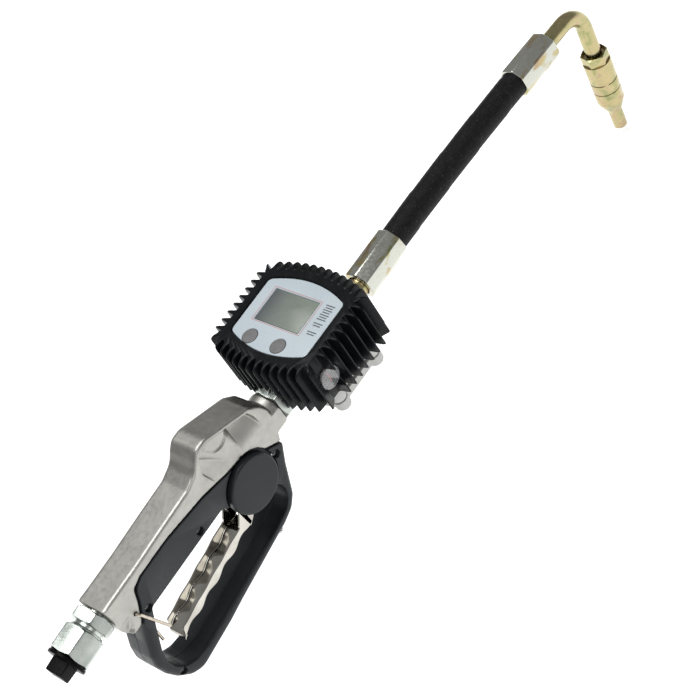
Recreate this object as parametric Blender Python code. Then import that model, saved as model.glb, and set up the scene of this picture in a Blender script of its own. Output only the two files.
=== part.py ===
"""Hand-held metered oil dispensing gun: valve handle, trigger and guard, digital flow meter,
rubber hose, bent outlet tube and non-drip nozzle.

The scene is in metres. Every length below is in millimetres and goes through the builders,
which multiply it by MM. +X runs from the inlet to the nozzle, +Z is the way the display
faces, and the origin is the centre of the inlet nut's mouth.
"""

import math

import bmesh
import bpy
from mathutils import Matrix, Vector

MM = 0.001
GAP = 0.3
X_AXIS = Vector((1, 0, 0))
Y_AXIS = Vector((0, 1, 0))
Z_AXIS = Vector((0, 0, 1))

# Inlet: a 1/2 inch swivel nut on an axis that rises slightly towards the handle.
INLET_TILT = math.radians(3.4)
INLET_AXIS = Vector((math.cos(INLET_TILT), 0, math.sin(INLET_TILT)))
NUT_FLATS = 27.0
NUT_LENGTH = 19.5
NUT_BORE_R = 9.6
NECK_R = 7.4
INLET_SHANK_R = 8.6
INLET_HEX_FROM = 23.6
INLET_HEX_TO = 32.4

# Flow line of the meter and the hose.
FLOW_Z = -12.0
FLOW_BORE_R = 5.0

# Handle casting.
CASTING_HALF = 13.0
RIB_HALF = 4.7
BOSS_R = 14.5
BOSS_END = 213.9

# Trigger pivot and travel.
PIVOT_X = 165.5
PIVOT_Z = -27.9
PIN_R = 2.8
TRIGGER_HALF = 8.5
TRIGGER_SHEET = 1.5
FINGER_PITCH = 21.7
FINGER_WAVE = 1.3

# Valve stem, which the trigger's cam lifts.
STEM_X = 158.0
STEM_R = 2.5
STEM_FOOT = -22.6
CHAMBER_BORE = 7.6

# Guard: two half shells that meet at y = 0.
GUARD_HALF = 13.5
GUARD_SCREWS = {
    "guard_screw_grip": (116.5, -14.8),
    "guard_screw_rear": (56.7, -18.5),
    "guard_screw_tail": (44.6, -83.0),
    "guard_screw_leg": (161.0, -82.0),
    "guard_screw_front": (191.9, -30.2),
}

# Latch wire.
LATCH_X = 48.0
LATCH_Z = -11.7
WIRE_R = 1.1

# Meter.
METER_X = 263.1
LABEL_Z = 26.5
COVER_TOP = 27.3
COVER_BOTTOM = -13.0
BODY_TOP = 4.0
BODY_BOTTOM = -33.0
FIN_DEPTH = 6.6
BASE_TOP = -23.5
PORT_REACH = 35.6
LUGS = ((-19.4, -35.0), (19.4, -35.0), (19.4, 35.0), (-19.4, 35.0))
GEAR_R = 8.0
GEAR_OVAL = 0.18
ROTOR_BOTTOM = -23.1
ROTOR_TOP = -4.0
SIGHT_AT = (243.0, 0, 4.0)
SIGHT_R = 8.5
BUTTONS = {"button_mode": 17.1, "button_reset": -9.3}
BUTTON_X = METER_X - 22.2

# Hose line.
HOSE_R = 10.2
HOSE_ROUTE = (
    (331.0, -12.0), (363.0, -12.0), (394.0, -12.2), (425.0, -12.9), (456.0, -13.9), (487.0, -15.4),
    (518.0, -17.3), (552.0, -19.6),
)
HOSE_END_SLOPE = math.radians(-3.9)
FERRULE_FLATS = 23.6
FERRULE_LENGTH = 41.4
FERRULE_LOWER_X = 321.6
FERRULE_UPPER_AT = (518.4, 0, -17.3)
TUBE_R = 6.3
TUBE_BEND_START = (581.0, 0, -21.5)
TUBE_DOWN = 41.0
BEND_R = 20.0

# Nozzle: its axis points down and slightly back.
NOZZLE_TOP = Vector((597.9, 0, -66.6))
NOZZLE_AXIS = Vector((math.sin(HOSE_END_SLOPE), 0, -math.cos(HOSE_END_SLOPE)))

COLOURS = {
    "cast_aluminium": ((0.62, 0.61, 0.58), 0.45, 0.9),
    "zinc_plate": ((0.72, 0.74, 0.71), 0.25, 1.0),
    "yellow_zinc": ((0.66, 0.58, 0.38), 0.25, 1.0),
    "polished_steel": ((0.78, 0.76, 0.72), 0.1, 1.0),
    "spring_steel": ((0.45, 0.45, 0.46), 0.3, 1.0),
    "brass": ((0.72, 0.55, 0.25), 0.3, 1.0),
    "black_plastic": ((0.04, 0.045, 0.05), 0.4, 0.0),
    "black_rubber": ((0.015, 0.015, 0.016), 0.6, 0.0),
    "meter_body": ((0.72, 0.72, 0.69), 0.5, 0.3),
    "label": ((0.62, 0.68, 0.71), 0.35, 0.0),
    "display": ((0.30, 0.33, 0.30), 0.2, 0.0),
    "button_grey": ((0.22, 0.23, 0.23), 0.5, 0.0),
    "clear_plastic": ((0.75, 0.78, 0.78), 0.1, 0.0),
    "circuit_green": ((0.02, 0.16, 0.08), 0.5, 0.0),
}


def clear_scene():
    for obj in list(bpy.data.objects):
        bpy.data.objects.remove(obj, do_unlink=True)


def material(name):
    found = bpy.data.materials.get(name)
    if found:
        return found
    colour, roughness, metallic = COLOURS[name]
    made = bpy.data.materials.new(name)
    made.use_nodes = True
    shader = made.node_tree.nodes["Principled BSDF"]
    shader.inputs["Base Color"].default_value = (*colour, 1)
    shader.inputs["Roughness"].default_value = roughness
    shader.inputs["Metallic"].default_value = metallic
    return made


def new_object(name, mesh_data, finish, at=(0, 0, 0), rotation=None):
    """Turn a bmesh in millimetres into an object in metres at a place and rotation."""
    mesh_data.normal_update()
    bmesh.ops.scale(mesh_data, vec=(MM, MM, MM), verts=mesh_data.verts)
    mesh = bpy.data.meshes.new(name)
    mesh_data.to_mesh(mesh)
    mesh_data.free()
    mesh.shade_smooth()
    mesh.set_sharp_from_angle(angle=math.radians(30))
    mesh.materials.append(material(finish))
    obj = bpy.data.objects.new(name, mesh)
    bpy.context.scene.collection.objects.link(obj)
    if rotation is not None:
        obj.rotation_euler = rotation.to_euler()
    obj.location = Vector(at) * MM
    return obj


def along(direction):
    """The rotation that takes local +Z to a direction and local +X as near +Y as it can."""
    z = Vector(direction).normalized()
    x = (Y_AXIS - z * Y_AXIS.dot(z))
    x = x.normalized() if x.length > 1e-6 else X_AXIS
    y = z.cross(x)
    return Matrix((x, y, z)).transposed()


def turned(name, profile, finish, at=(0, 0, 0), direction=X_AXIS, steps=32):
    """A turned piece: a closed profile of (distance along the axis, radius) spun a full turn."""
    data = bmesh.new()
    verts = [data.verts.new((radius, 0, distance)) for distance, radius in profile]
    edges = [data.edges.new((a, b)) for a, b in zip(verts, verts[1:] + verts[:1])]
    edges = [edge for edge in edges if max(v.co.x for v in edge.verts) > 0]
    bmesh.ops.spin(data, geom=verts + edges, angle=math.tau, steps=steps, axis=Z_AXIS, cent=(0, 0, 0))
    bmesh.ops.remove_doubles(data, verts=data.verts, dist=1e-4)
    loose = [edge for edge in data.edges if not edge.link_faces]
    bmesh.ops.delete(data, geom=loose, context="EDGES")
    on_axis = [vert for vert in data.verts if vert.co.xy.length < 1e-5 and vert.link_faces]
    bmesh.ops.dissolve_verts(data, verts=on_axis)
    bmesh.ops.recalc_face_normals(data, faces=data.faces)
    return new_object(name, data, finish, at, along(direction))


def tube_profile(start, end, outer, inner):
    return [(start, inner), (end, inner), (end, outer), (start, outer)]


def rod_profile(start, end, radius):
    return [(start, 0), (end, 0), (end, radius), (start, radius)]


def hex_solid(name, flats, start, end, finish, at=(0, 0, 0), direction=X_AXIS, turn=0.0, sides=6):
    """A straight prism with 6 or 8 flats, from start to end along its axis."""
    data = bmesh.new()
    corner_r = flats / 2 / math.cos(math.pi / sides)
    bmesh.ops.create_cone(
        data, cap_ends=True, segments=sides, radius1=corner_r, radius2=corner_r, depth=end - start
    )
    bmesh.ops.translate(data, vec=(0, 0, (start + end) / 2), verts=data.verts)
    bmesh.ops.rotate(data, cent=(0, 0, 0), matrix=Matrix.Rotation(turn, 3, "Z"), verts=data.verts)
    return new_object(name, data, finish, at, along(direction))


def prism(name, outline, low_y, high_y, finish, origin=(0, 0)):
    """An outline of (x, z) points extruded along Y, with the object's origin at (x, z)."""
    data = bmesh.new()
    verts = [data.verts.new((x - origin[0], low_y, z - origin[1])) for x, z in outline]
    face = data.faces.new(verts)
    grown = bmesh.ops.extrude_face_region(data, geom=[face])
    moved = [item for item in grown["geom"] if isinstance(item, bmesh.types.BMVert)]
    bmesh.ops.translate(data, vec=(0, high_y - low_y, 0), verts=moved)
    bmesh.ops.recalc_face_normals(data, faces=data.faces)
    return new_object(name, data, finish, (origin[0], 0, origin[1]))


def slab(name, outline, low_z, high_z, finish, at=(0, 0)):
    """An outline of (x, y) points, relative to a centre, extruded along Z."""
    data = bmesh.new()
    verts = [data.verts.new((x, y, 0)) for x, y in outline]
    face = data.faces.new(verts)
    grown = bmesh.ops.extrude_face_region(data, geom=[face])
    moved = [item for item in grown["geom"] if isinstance(item, bmesh.types.BMVert)]
    bmesh.ops.translate(data, vec=(0, 0, high_z - low_z), verts=moved)
    bmesh.ops.recalc_face_normals(data, faces=data.faces)
    return new_object(name, data, finish, (at[0], at[1], low_z))


def box(name, low, high, finish="zinc_plate"):
    data = bmesh.new()
    bmesh.ops.create_cube(data, size=1)
    size = [b - a for a, b in zip(low, high)]
    bmesh.ops.scale(data, vec=size, verts=data.verts)
    centre = [(a + b) / 2 for a, b in zip(low, high)]
    return new_object(name, data, finish, centre)


def combine(target, other, operation):
    """Boolean of another object into a target. The other one becomes a hidden guide."""
    other.hide_render = True
    other.display_type = "WIRE"
    change = target.modifiers.new(other.name, "BOOLEAN")
    change.operation = operation
    change.object = other
    return target


def cut(target, cutter):
    return combine(target, cutter, "DIFFERENCE")


def add(target, piece):
    return combine(target, piece, "UNION")


def keep_inside(target, envelope):
    return combine(target, envelope, "INTERSECT")


def bevelled(obj, width, segments=2, angle=40):
    change = obj.modifiers.new("edge_round", "BEVEL")
    change.width = width * MM
    change.segments = segments
    change.limit_method = "ANGLE"
    change.angle_limit = math.radians(angle)
    return obj


def rotor_outline(base, oval, count=48):
    """A two-lobed rotor: its radius swings by the oval ratio twice a turn."""
    points = []
    for i in range(count):
        angle = math.tau * i / count
        radius = base * (1 + oval * math.cos(2 * angle))
        points.append((radius * math.cos(angle), radius * math.sin(angle)))
    return points


def barrel_outline(half_x, half_y, bulge, corner, steps=6):
    """A rectangle in (x, y) whose two X ends bulge outwards by an arc, with round corners."""
    points = []
    for side in (1, -1):
        for i in range(-steps, steps + 1):
            y = side * i / steps * (half_y - corner)
            x = side * (half_x - bulge * (y / half_y) ** 2)
            points.append((x, y))
        points.append((side * (half_x - bulge - corner), side * half_y))
        points.append((-side * (half_x - bulge - corner), side * half_y))
    return points


# ---------------------------------------------------------------- inlet


def chamfered_hex(name, flats, start, end, finish, at, direction, turn=0.0, chamfer=1.4):
    body = hex_solid(name, flats, start, end, finish, at, direction, turn)
    corner_r = flats / 2 / math.cos(math.pi / 6) + 0.2
    flat_r = flats / 2 + 0.1
    profile = [
        (start, 0), (end, 0), (end, flat_r), (end - chamfer, corner_r),
        (start + chamfer, corner_r), (start, flat_r),
    ]
    return keep_inside(body, turned(name + "_envelope", profile, finish, at, direction))


def inlet_nut():
    turn = math.radians(14)
    nut = chamfered_hex("inlet_nut", NUT_FLATS, 0, NUT_LENGTH, "zinc_plate", (0, 0, 0), INLET_AXIS, turn)
    shoulder = 14.6
    hole_r = NECK_R + GAP
    past = NUT_LENGTH + 1
    bore = [(-1, 0), (past, 0), (past, hole_r), (shoulder, hole_r), (shoulder, NUT_BORE_R), (-1, NUT_BORE_R)]
    return cut(nut, turned("inlet_nut_bore", bore, "zinc_plate", (0, 0, 0), INLET_AXIS, 24))


def inlet_plug():
    finish = "black_plastic"
    profile = [
        (-12.5, 0), (8.0, 0), (8.0, 8.8), (-0.4, 8.8), (-0.4, 14.0), (-2.9, 14.0), (-2.9, 5.0), (-12.5, 5.0),
    ]
    plug = turned("inlet_plug", profile, finish, (0, 0, 0), INLET_AXIS, 24)
    turn = math.radians(59)
    tail = hex_solid("inlet_plug_tail", 13.5, -12.9, -2.0, finish, (0, 0, 0), INLET_AXIS, turn, 4)
    return add(plug, tail)


def inlet_washer():
    profile = tube_profile(8.4, 10.2, 9.2, 5.5)
    return turned("inlet_washer", profile, "black_rubber", (0, 0, 0), INLET_AXIS, 24)


def inlet_adapter():
    """Double-ended adapter: a collar held in the nut, a neck, a hex and a thread into the handle."""
    profile = [
        (10.6, FLOW_BORE_R), (47.0, FLOW_BORE_R), (47.0, INLET_SHANK_R), (30.0, INLET_SHANK_R),
        (30.0, NECK_R), (14.2, NECK_R), (14.2, 9.2), (10.6, 9.2),
    ]
    adapter = turned("inlet_adapter", profile, "zinc_plate", (0, 0, 0), INLET_AXIS, 24)
    hexagon = chamfered_hex(
        "inlet_adapter_hex", NUT_FLATS, INLET_HEX_FROM, INLET_HEX_TO, "zinc_plate", (0, 0, 0), INLET_AXIS,
        math.radians(20), 1.2
    )
    way = rod_profile(9, 48, FLOW_BORE_R)
    bore = turned("inlet_adapter_bore", way, "zinc_plate", (0, 0, 0), INLET_AXIS, 24)
    return cut(add(adapter, hexagon), bore)


# ---------------------------------------------------------------- shared outlines in the XZ plane

# Where the casting meets the guard, from the outlet end to the latch lug.
INTERFACE = [
    (200.6, -27.4), (187.6, -19.2), (184.0, -12.8), (179.0, -8.2), (172.0, -5.1), (160.4, -4.0),
    (132.7, 2.4), (95.2, 6.2), (66.4, 5.4), (58.8, 2.0), (55.2, -7.8), (51.2, -15.5), (49.6, -20.0),
    (46.4, -23.6),
]
CASTING_TOP = [
    (41.0, -24.4), (36.6, -22.4), (34.4, -16.5), (32.9, 12.2), (69.0, 13.2), (100.0, 15.2), (127.0, 16.6),
    (138.5, 20.7), (144.0, 27.5), (149.5, 32.6), (158.5, 32.8), (196.0, 17.8), (203.5, 10.5), (207.0, 2.5),
    (206.0, -14.0),
]
POCKET = [
    (148.0, 27.0), (158.5, 27.2), (192.0, 13.6), (191.0, 1.0), (176.0, 1.5), (148.0, 4.0), (142.0, 12.0),
]
RIB = [
    (66.0, 8.0), (196.0, 8.0), (188.0, -20.0), (176.0, -34.0), (170.5, -37.5), (160.5, -37.5),
    (155.0, -33.0), (151.0, -17.5), (66.0, -17.5),
]
RIB_POCKET = [
    (65.6, 15.0), (197.0, 15.0), (188.6, -20.2), (176.4, -34.4), (170.7, -38.0), (160.2, -38.0),
    (154.5, -33.4), (150.6, -17.9), (65.6, -17.9),
]
GUARD_OUTER = [
    (43.4, -32.0), (39.4, -42.0), (35.4, -52.0), (33.6, -62.0), (35.4, -73.0), (39.7, -84.0),
    (47.6, -94.5), (56.9, -99.5), (73.4, -97.2), (92.4, -94.6), (109.1, -91.0), (166.9, -81.0),
    (177.9, -77.0), (185.4, -69.0), (194.8, -44.5), (200.4, -33.0),
]
WINDOW = [
    (59.0, -21.2), (137.5, -19.8), (146.0, -31.0), (151.0, -43.5), (160.0, -47.0), (172.0, -46.5),
    (178.5, -49.0), (181.8, -56.0), (179.5, -64.5), (172.5, -71.5), (159.5, -74.8), (104.4, -83.5),
    (70.0, -88.0), (56.5, -86.3), (48.5, -81.8), (43.5, -73.8), (42.2, -64.5), (44.0, -54.3), (52.0, -36.0),
]
EAR_SPACE = [
    (136.0, -46.0), (139.0, -29.0), (150.0, -16.5), (165.0, -15.0), (177.0, -22.0), (178.0, -34.0),
    (170.0, -46.0), (162.0, -60.0),
]


def offset_path(points, distance):
    """An open path moved sideways, to its left for a positive distance."""
    moved = []
    for i, point in enumerate(points):
        before = Vector(points[max(i - 1, 0)])
        after = Vector(points[min(i + 1, len(points) - 1)])
        run = (after - before).normalized()
        moved.append((point[0] - run.y * distance, point[1] + run.x * distance))
    return moved


# ---------------------------------------------------------------- handle casting


def valve_casting():
    body = prism("valve_casting", INTERFACE + CASTING_TOP, -CASTING_HALF, CASTING_HALF, "cast_aluminium")
    bevelled(body, 2.2)
    add(body, prism("casting_rib", RIB, -RIB_HALF, RIB_HALF, "cast_aluminium"))
    boss = turned("casting_boss", rod_profile(201, BOSS_END, BOSS_R), "cast_aluminium", (0, 0, FLOW_Z))
    add(body, boss)
    for side, name in ((-1, "left"), (1, "right")):
        low, high = sorted((side * 10.2, side * 20.0))
        cut(body, prism("casting_pocket_" + name, POCKET, low, high, "cast_aluminium"))
    cam_slot = [(149, -39), (182, -39), (182, -15.5), (149, -15.5)]
    cut(body, prism("casting_cam_slot", cam_slot, -2.8, 2.8, "cast_aluminium"))
    casting_bores(body)
    return body


def casting_bores(body):
    finish = "cast_aluminium"
    socket = rod_profile(30, 49, INLET_SHANK_R + GAP)
    cut(body, turned("casting_inlet_bore", socket, finish, (0, 0, 0), INLET_AXIS, 24))
    passage = [(44, 6.5), (120, 11), (152, 19), (152, 10.5), (120, 3.5), (44, -1.5)]
    cut(body, prism("casting_passage", passage, -4.0, 4.0, finish))
    guide_r = STEM_R + 0.2
    chamber = [(-18, 0), (24, 0), (24, CHAMBER_BORE), (0, CHAMBER_BORE), (0, guide_r), (-18, guide_r)]
    cut(body, turned("casting_chamber", chamber, finish, (STEM_X, 0, 0), Z_AXIS, 24))
    way = rod_profile(0, 42, 3.2)
    cut(body, turned("casting_outlet_way", way, finish, (STEM_X, 0, 2.5), (1, 0, -0.22), 16))
    port = rod_profile(197, BOSS_END + 1, 10.3)
    cut(body, turned("casting_outlet_port", port, finish, (0, 0, FLOW_Z), X_AXIS, 24))
    for name, (x, z), radius in (
        ("pin_hole", (PIVOT_X, PIVOT_Z), PIN_R + 0.2),
        ("screw_hole", GUARD_SCREWS["guard_screw_grip"], 1.9),
        ("latch_hole", (LATCH_X, LATCH_Z), WIRE_R + 0.35),
    ):
        cut(body, turned("casting_" + name, rod_profile(-20, 20, radius), finish, (x, 0, z), Y_AXIS, 16))


def coil_spring(name, at, direction, coil_r, wire_r, length, turns, per_turn=8):
    """A compression spring as a bevelled helix with filled caps."""
    curve = bpy.data.curves.new(name, "CURVE")
    curve.dimensions = "3D"
    curve.bevel_depth = wire_r * MM
    curve.bevel_resolution = 1
    curve.use_fill_caps = True
    spline = curve.splines.new("POLY")
    count = turns * per_turn + 1
    spline.points.add(count - 1)
    for i, point in enumerate(spline.points):
        angle = math.tau * i / per_turn
        rise = wire_r + (length - 2 * wire_r) * i / (count - 1)
        place = Vector((coil_r * math.cos(angle), coil_r * math.sin(angle), rise)) * MM
        point.co = (*place, 1)
    curve.materials.append(material("spring_steel"))
    obj = bpy.data.objects.new(name, curve)
    bpy.context.scene.collection.objects.link(obj)
    obj.rotation_euler = along(direction).to_euler()
    obj.location = Vector(at) * MM
    return obj


def valve_train():
    seat = tube_profile(5.0, 8.1, CHAMBER_BORE - GAP, 4.4)
    turned("valve_seat", seat, "brass", (STEM_X, 0, 0), Z_AXIS, 24)
    stem = [(STEM_FOOT, 0), (11.4, 0), (11.4, 6.2), (8.4, 6.2), (8.4, STEM_R), (STEM_FOOT, STEM_R)]
    turned("valve_stem", stem, "polished_steel", (STEM_X, 0, 0), Z_AXIS, 24)
    seal = tube_profile(0.3, 2.4, 5.5, STEM_R + 0.15)
    turned("stem_seal", seal, "black_rubber", (STEM_X, 0, 0), Z_AXIS, 24)
    coil_spring("valve_spring", (STEM_X, 0, 11.7), Z_AXIS, 4.6, 0.7, 11.9, 4)


# ---------------------------------------------------------------- trigger


def finger_line(x):
    """Height of the trigger's underside, with one wave for each finger."""
    return -56.8 - 0.155 * (146.0 - x) - FINGER_WAVE * math.cos(math.tau * (x - 105.0) / FINGER_PITCH)


def trigger():
    wave_x = [62.0 + (146.0 - 62.0) * i / 31 for i in range(32)]
    under = [(x, finger_line(x)) for x in wave_x]
    ear = []
    for angle in range(-60, 181, 30):
        turn = math.radians(angle)
        ear.append((PIVOT_X + 10 * math.cos(turn), PIVOT_Z + 10 * math.sin(turn)))
    upper = [(146.5, -40.5), (139.7, -49.7), (71.1, -61.6), (66.0, -64.4)]
    outline = under + [(153.3, -53.5), (160.0, -44.0)] + ear + upper
    pivot = (PIVOT_X, PIVOT_Z)
    lever = prism("trigger", outline, -TRIGGER_HALF, TRIGGER_HALF, "polished_steel", pivot)
    inside = [(58.0, finger_line(62.0) + TRIGGER_SHEET)]
    inside += [(x, finger_line(x) + TRIGGER_SHEET) for x in wave_x]
    inside += [(156.0, -60.0), (190.0, -60.0), (190.0, -5.0), (58.0, -5.0)]
    half = TRIGGER_HALF - TRIGGER_SHEET
    cut(lever, prism("trigger_inside", inside, -half, half, "polished_steel", pivot))
    hole = rod_profile(-20, 20, PIN_R + GAP)
    cut(lever, turned("trigger_hole", hole, "polished_steel", (PIVOT_X, 0, PIVOT_Z), Y_AXIS, 16))
    return lever


def lift_cam():
    """The cam on the trigger's pivot: a hub and a round nose under the valve stem."""
    nose = (-7.5, 2.0)
    points = []
    for angle in range(-100, 81, 20):
        turn = math.radians(angle)
        points.append((6 * math.cos(turn), 6 * math.sin(turn)))
    for angle in range(80, 281, 25):
        turn = math.radians(angle)
        points.append((nose[0] + 3 * math.cos(turn), nose[1] + 3 * math.sin(turn)))
    outline = [(x + PIVOT_X, z + PIVOT_Z) for x, z in points]
    cam = prism("lift_cam", outline, -2.4, 2.4, "polished_steel", (PIVOT_X, PIVOT_Z))
    hole = rod_profile(-20, 20, PIN_R + GAP)
    return cut(cam, turned("lift_cam_hole", hole, "polished_steel", (PIVOT_X, 0, PIVOT_Z), Y_AXIS, 16))


def pivot_pin():
    profile = rod_profile(-9.0, 9.0, PIN_R)
    turned("pivot_pin", profile, "polished_steel", (PIVOT_X, 0, PIVOT_Z), Y_AXIS, 24)


def pivot_caps():
    """The round caps over the pivot, one on each side of the guard."""
    for side, name in ((-1, "left"), (1, "right")):
        profile = [(11.9, 0), (17.0, 0), (17.0, 21.4), (16.2, 22.2), (13.0, 22.2), (11.9, 21.4)]
        turned("pivot_cap_" + name, profile, "black_plastic", (PIVOT_X, 0, PIVOT_Z), Y_AXIS * side, 48)


# ---------------------------------------------------------------- guard


def guard_outline():
    joint = offset_path(INTERFACE, 0.4)
    return list(reversed(joint)) + list(reversed(GUARD_OUTER))


def guard_half(side, name):
    shell = prism(name, guard_outline(), -GUARD_HALF, GUARD_HALF, "black_plastic")
    bevelled(shell, 3.0, 2)
    cut(shell, prism(name + "_window", WINDOW, -20, 20, "black_plastic"))
    cut(shell, prism(name + "_rib", RIB_POCKET, -5.1, 5.1, "black_plastic"))
    cut(shell, prism(name + "_ears", EAR_SPACE, -9.4, 9.4, "black_plastic"))
    low, high = sorted((side * 11.6, side * 20))
    recess = rod_profile(low, high, 22.8)
    cut(shell, turned(name + "_recess", recess, "black_plastic", (PIVOT_X, 0, PIVOT_Z), Y_AXIS, 40))
    for screw, (x, z) in GUARD_SCREWS.items():
        clear = [(-20, 0), (10.2, 0), (10.2, 1.9), (-8.2, 1.9), (-8.2, 3.1), (-20, 3.1)]
        cut(shell, turned(f"{name}_{screw}", clear, "black_plastic", (x, 0, z), Y_AXIS, 16))
    low, high = sorted((side * 0.15, side * 30))
    keep_inside(shell, box(name + "_side", (0, low, -120), (260, high, 60)))
    return shell


def guard_screws():
    for name, (x, z) in GUARD_SCREWS.items():
        profile = [(-10.6, 0), (9.4, 0), (9.4, 1.6), (-8.5, 1.6), (-8.5, 2.8), (-10.6, 2.8)]
        turned(name, profile, "zinc_plate", (x, 0, z), Y_AXIS, 16)


def latch_wire():
    """A bent wire bail through the lug: a straight leg on one side, a hooked leg on the other."""
    side = CASTING_HALF + 2.6
    route = [
        (58.5, -side, -42.5), (49.6, -side, -14.5), (LATCH_X, -side + 1.2, LATCH_Z),
        (LATCH_X, side - 1.2, LATCH_Z), (49.6, side, -14.5), (54.6, side, -38.0),
        (53.2, 12.5, -44.5), (53.0, 7.0, -48.5), (53.2, 1.5, -52.0), (52.6, 0.0, -62.5),
    ]
    curve = bpy.data.curves.new("latch_wire", "CURVE")
    curve.dimensions = "3D"
    curve.bevel_depth = WIRE_R * MM
    curve.bevel_resolution = 2
    curve.use_fill_caps = True
    spline = curve.splines.new("POLY")
    spline.points.add(len(route) - 1)
    for point, (x, y, z) in zip(spline.points, route):
        point.co = ((x - LATCH_X) * MM, y * MM, (z - LATCH_Z) * MM, 1)
    curve.materials.append(material("zinc_plate"))
    wire = bpy.data.objects.new("latch_wire", curve)
    bpy.context.scene.collection.objects.link(wire)
    wire.location = (LATCH_X * MM, 0, LATCH_Z * MM)
    return wire


# ---------------------------------------------------------------- meter


def outlet_adapter():
    profile = [
        (198.5, FLOW_BORE_R), (239.5, FLOW_BORE_R), (239.5, 9.8), (227.0, 9.8), (227.0, 12.4), (221.0, 12.4),
        (214.3, 12.4), (214.3, 9.8), (198.5, 9.8),
    ]
    adapter = turned("outlet_adapter", profile, "zinc_plate", (0, 0, FLOW_Z), X_AXIS, 24)
    hexagon = chamfered_hex(
        "outlet_adapter_hex", NUT_FLATS, 214.3, 222.0, "zinc_plate", (0, 0, FLOW_Z), X_AXIS,
        math.radians(12), 1.2
    )
    way = rod_profile(198, 240, FLOW_BORE_R)
    bore = turned("outlet_adapter_bore", way, "zinc_plate", (0, 0, FLOW_Z), X_AXIS, 24)
    return cut(add(adapter, hexagon), bore)


def fin_ring(depth, inset):
    """One level of the rubber cover's outline: valleys on a bulging rectangle, tips `depth` out."""
    half_x, half_y, bulge = 39.0 - inset, 44.2 - inset, 8.0
    points = []
    for side in (1, -1):
        points.append((side * (half_x - bulge), -side * half_y))
        for k in range(-6, 6):
            tip_y = side * (2 * k + 1) * 3.8
            tip_y *= half_y / 44.2
            base_x = half_x - bulge * (tip_y / half_y) ** 2
            points.append((side * (base_x + depth), tip_y))
            if k < 5:
                valley_y = side * (2 * k + 2) * 3.8 * half_y / 44.2
                points.append((side * (half_x - bulge * (valley_y / half_y) ** 2), valley_y))
        points.append((side * (half_x - bulge), side * half_y))
        for k in range(3, -5, -1):
            tip_x = side * (2 * k + 1) * 3.45
            missing = side == -1 and k == 3
            points.append((tip_x, side * (half_y + (0 if missing else depth))))
            if k > -4:
                points.append((side * 2 * k * 3.45, side * half_y))
    return points


def rubber_cover():
    shoulder = [(20.0, FIN_DEPTH, 0.0), (25.0, 3.0, 0.0), (COVER_TOP, 0.0, 1.6)]
    levels = [(COVER_BOTTOM, FIN_DEPTH, 0.0)] + shoulder
    data = bmesh.new()
    rings = []
    for z, depth, inset in levels:
        rings.append([data.verts.new((x, y, z)) for x, y in fin_ring(depth, inset)])
    for low, high in zip(rings, rings[1:]):
        for i in range(len(low)):
            j = (i + 1) % len(low)
            data.faces.new((low[i], low[j], high[j], high[i]))
    data.faces.new(reversed(rings[0]))
    data.faces.new(rings[-1])
    bmesh.ops.recalc_face_normals(data, faces=data.faces)
    cover = new_object("rubber_cover", data, "black_rubber", (METER_X, 0, 0))
    inside = barrel_outline(34.6, 39.6, 7.0, 4.0)
    cut(cover, slab("cover_inside", inside, COVER_BOTTOM - 1, 24.3, "black_rubber", (METER_X, 0)))
    opening = barrel_outline(30.5, 35.3, 7.6, 3.0)
    cut(cover, slab("cover_opening", opening, 20, 30, "black_rubber", (METER_X, 0)))
    ports = turned("cover_ports", rod_profile(200, 330, 16.2), "black_rubber", (0, 0, FLOW_Z), X_AXIS, 24)
    cut(cover, ports)
    sight = rod_profile(30, 44.1, SIGHT_R + GAP)
    return cut(cover, turned("cover_sight", sight, "black_rubber", SIGHT_AT, -Y_AXIS, 24))


def meter_body():
    """The die-cast measuring body: a barrel block with a port boss at each end."""
    finish = "meter_body"
    outline = barrel_outline(30.0, 35.0, 5.0, 4.0)
    body = slab("meter_body", outline, BASE_TOP + GAP, BODY_TOP, finish, (METER_X, 0))
    for name, near, far in (("inlet", -PORT_REACH, -27.6), ("outlet", 27.6, PORT_REACH)):
        boss = rod_profile(METER_X + near, METER_X + far, 15.0)
        add(body, turned("meter_boss_" + name, boss, finish, (0, 0, FLOW_Z), X_AXIS, 32))
        low, high = (near - 5, -22.0) if near < 0 else (22.0, far + 5)
        bore = rod_profile(METER_X + low, METER_X + high, 10.2)
        cut(body, turned("meter_bore_" + name, bore, finish, (0, 0, FLOW_Z), X_AXIS, 24))
    way = rod_profile(METER_X - 30, METER_X + 30, 4.0)
    cut(body, turned("meter_way", way, finish, (0, 0, FLOW_Z), X_AXIS, 24))
    for x, y in LUGS:
        lug = rod_profile(BASE_TOP + GAP + 0.2, -13.6, 5.6)
        add(body, turned(f"body_lug_{x:.0f}_{y:.0f}", lug, finish, (METER_X + x, y, 0), Z_AXIS, 24))
        hole = rod_profile(-30, -16.0, 1.9)
        cut(body, turned(f"body_hole_{x:.0f}_{y:.0f}", hole, finish, (METER_X + x, y, 0), Z_AXIS, 16))
    for y in (-GEAR_R, GEAR_R):
        pocket = rod_profile(-40, ROTOR_TOP + GAP, 10.0)
        cut(body, turned(f"meter_pocket_{y:.0f}", pocket, finish, (METER_X, y, 0), Z_AXIS, 32))
    return body


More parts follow.
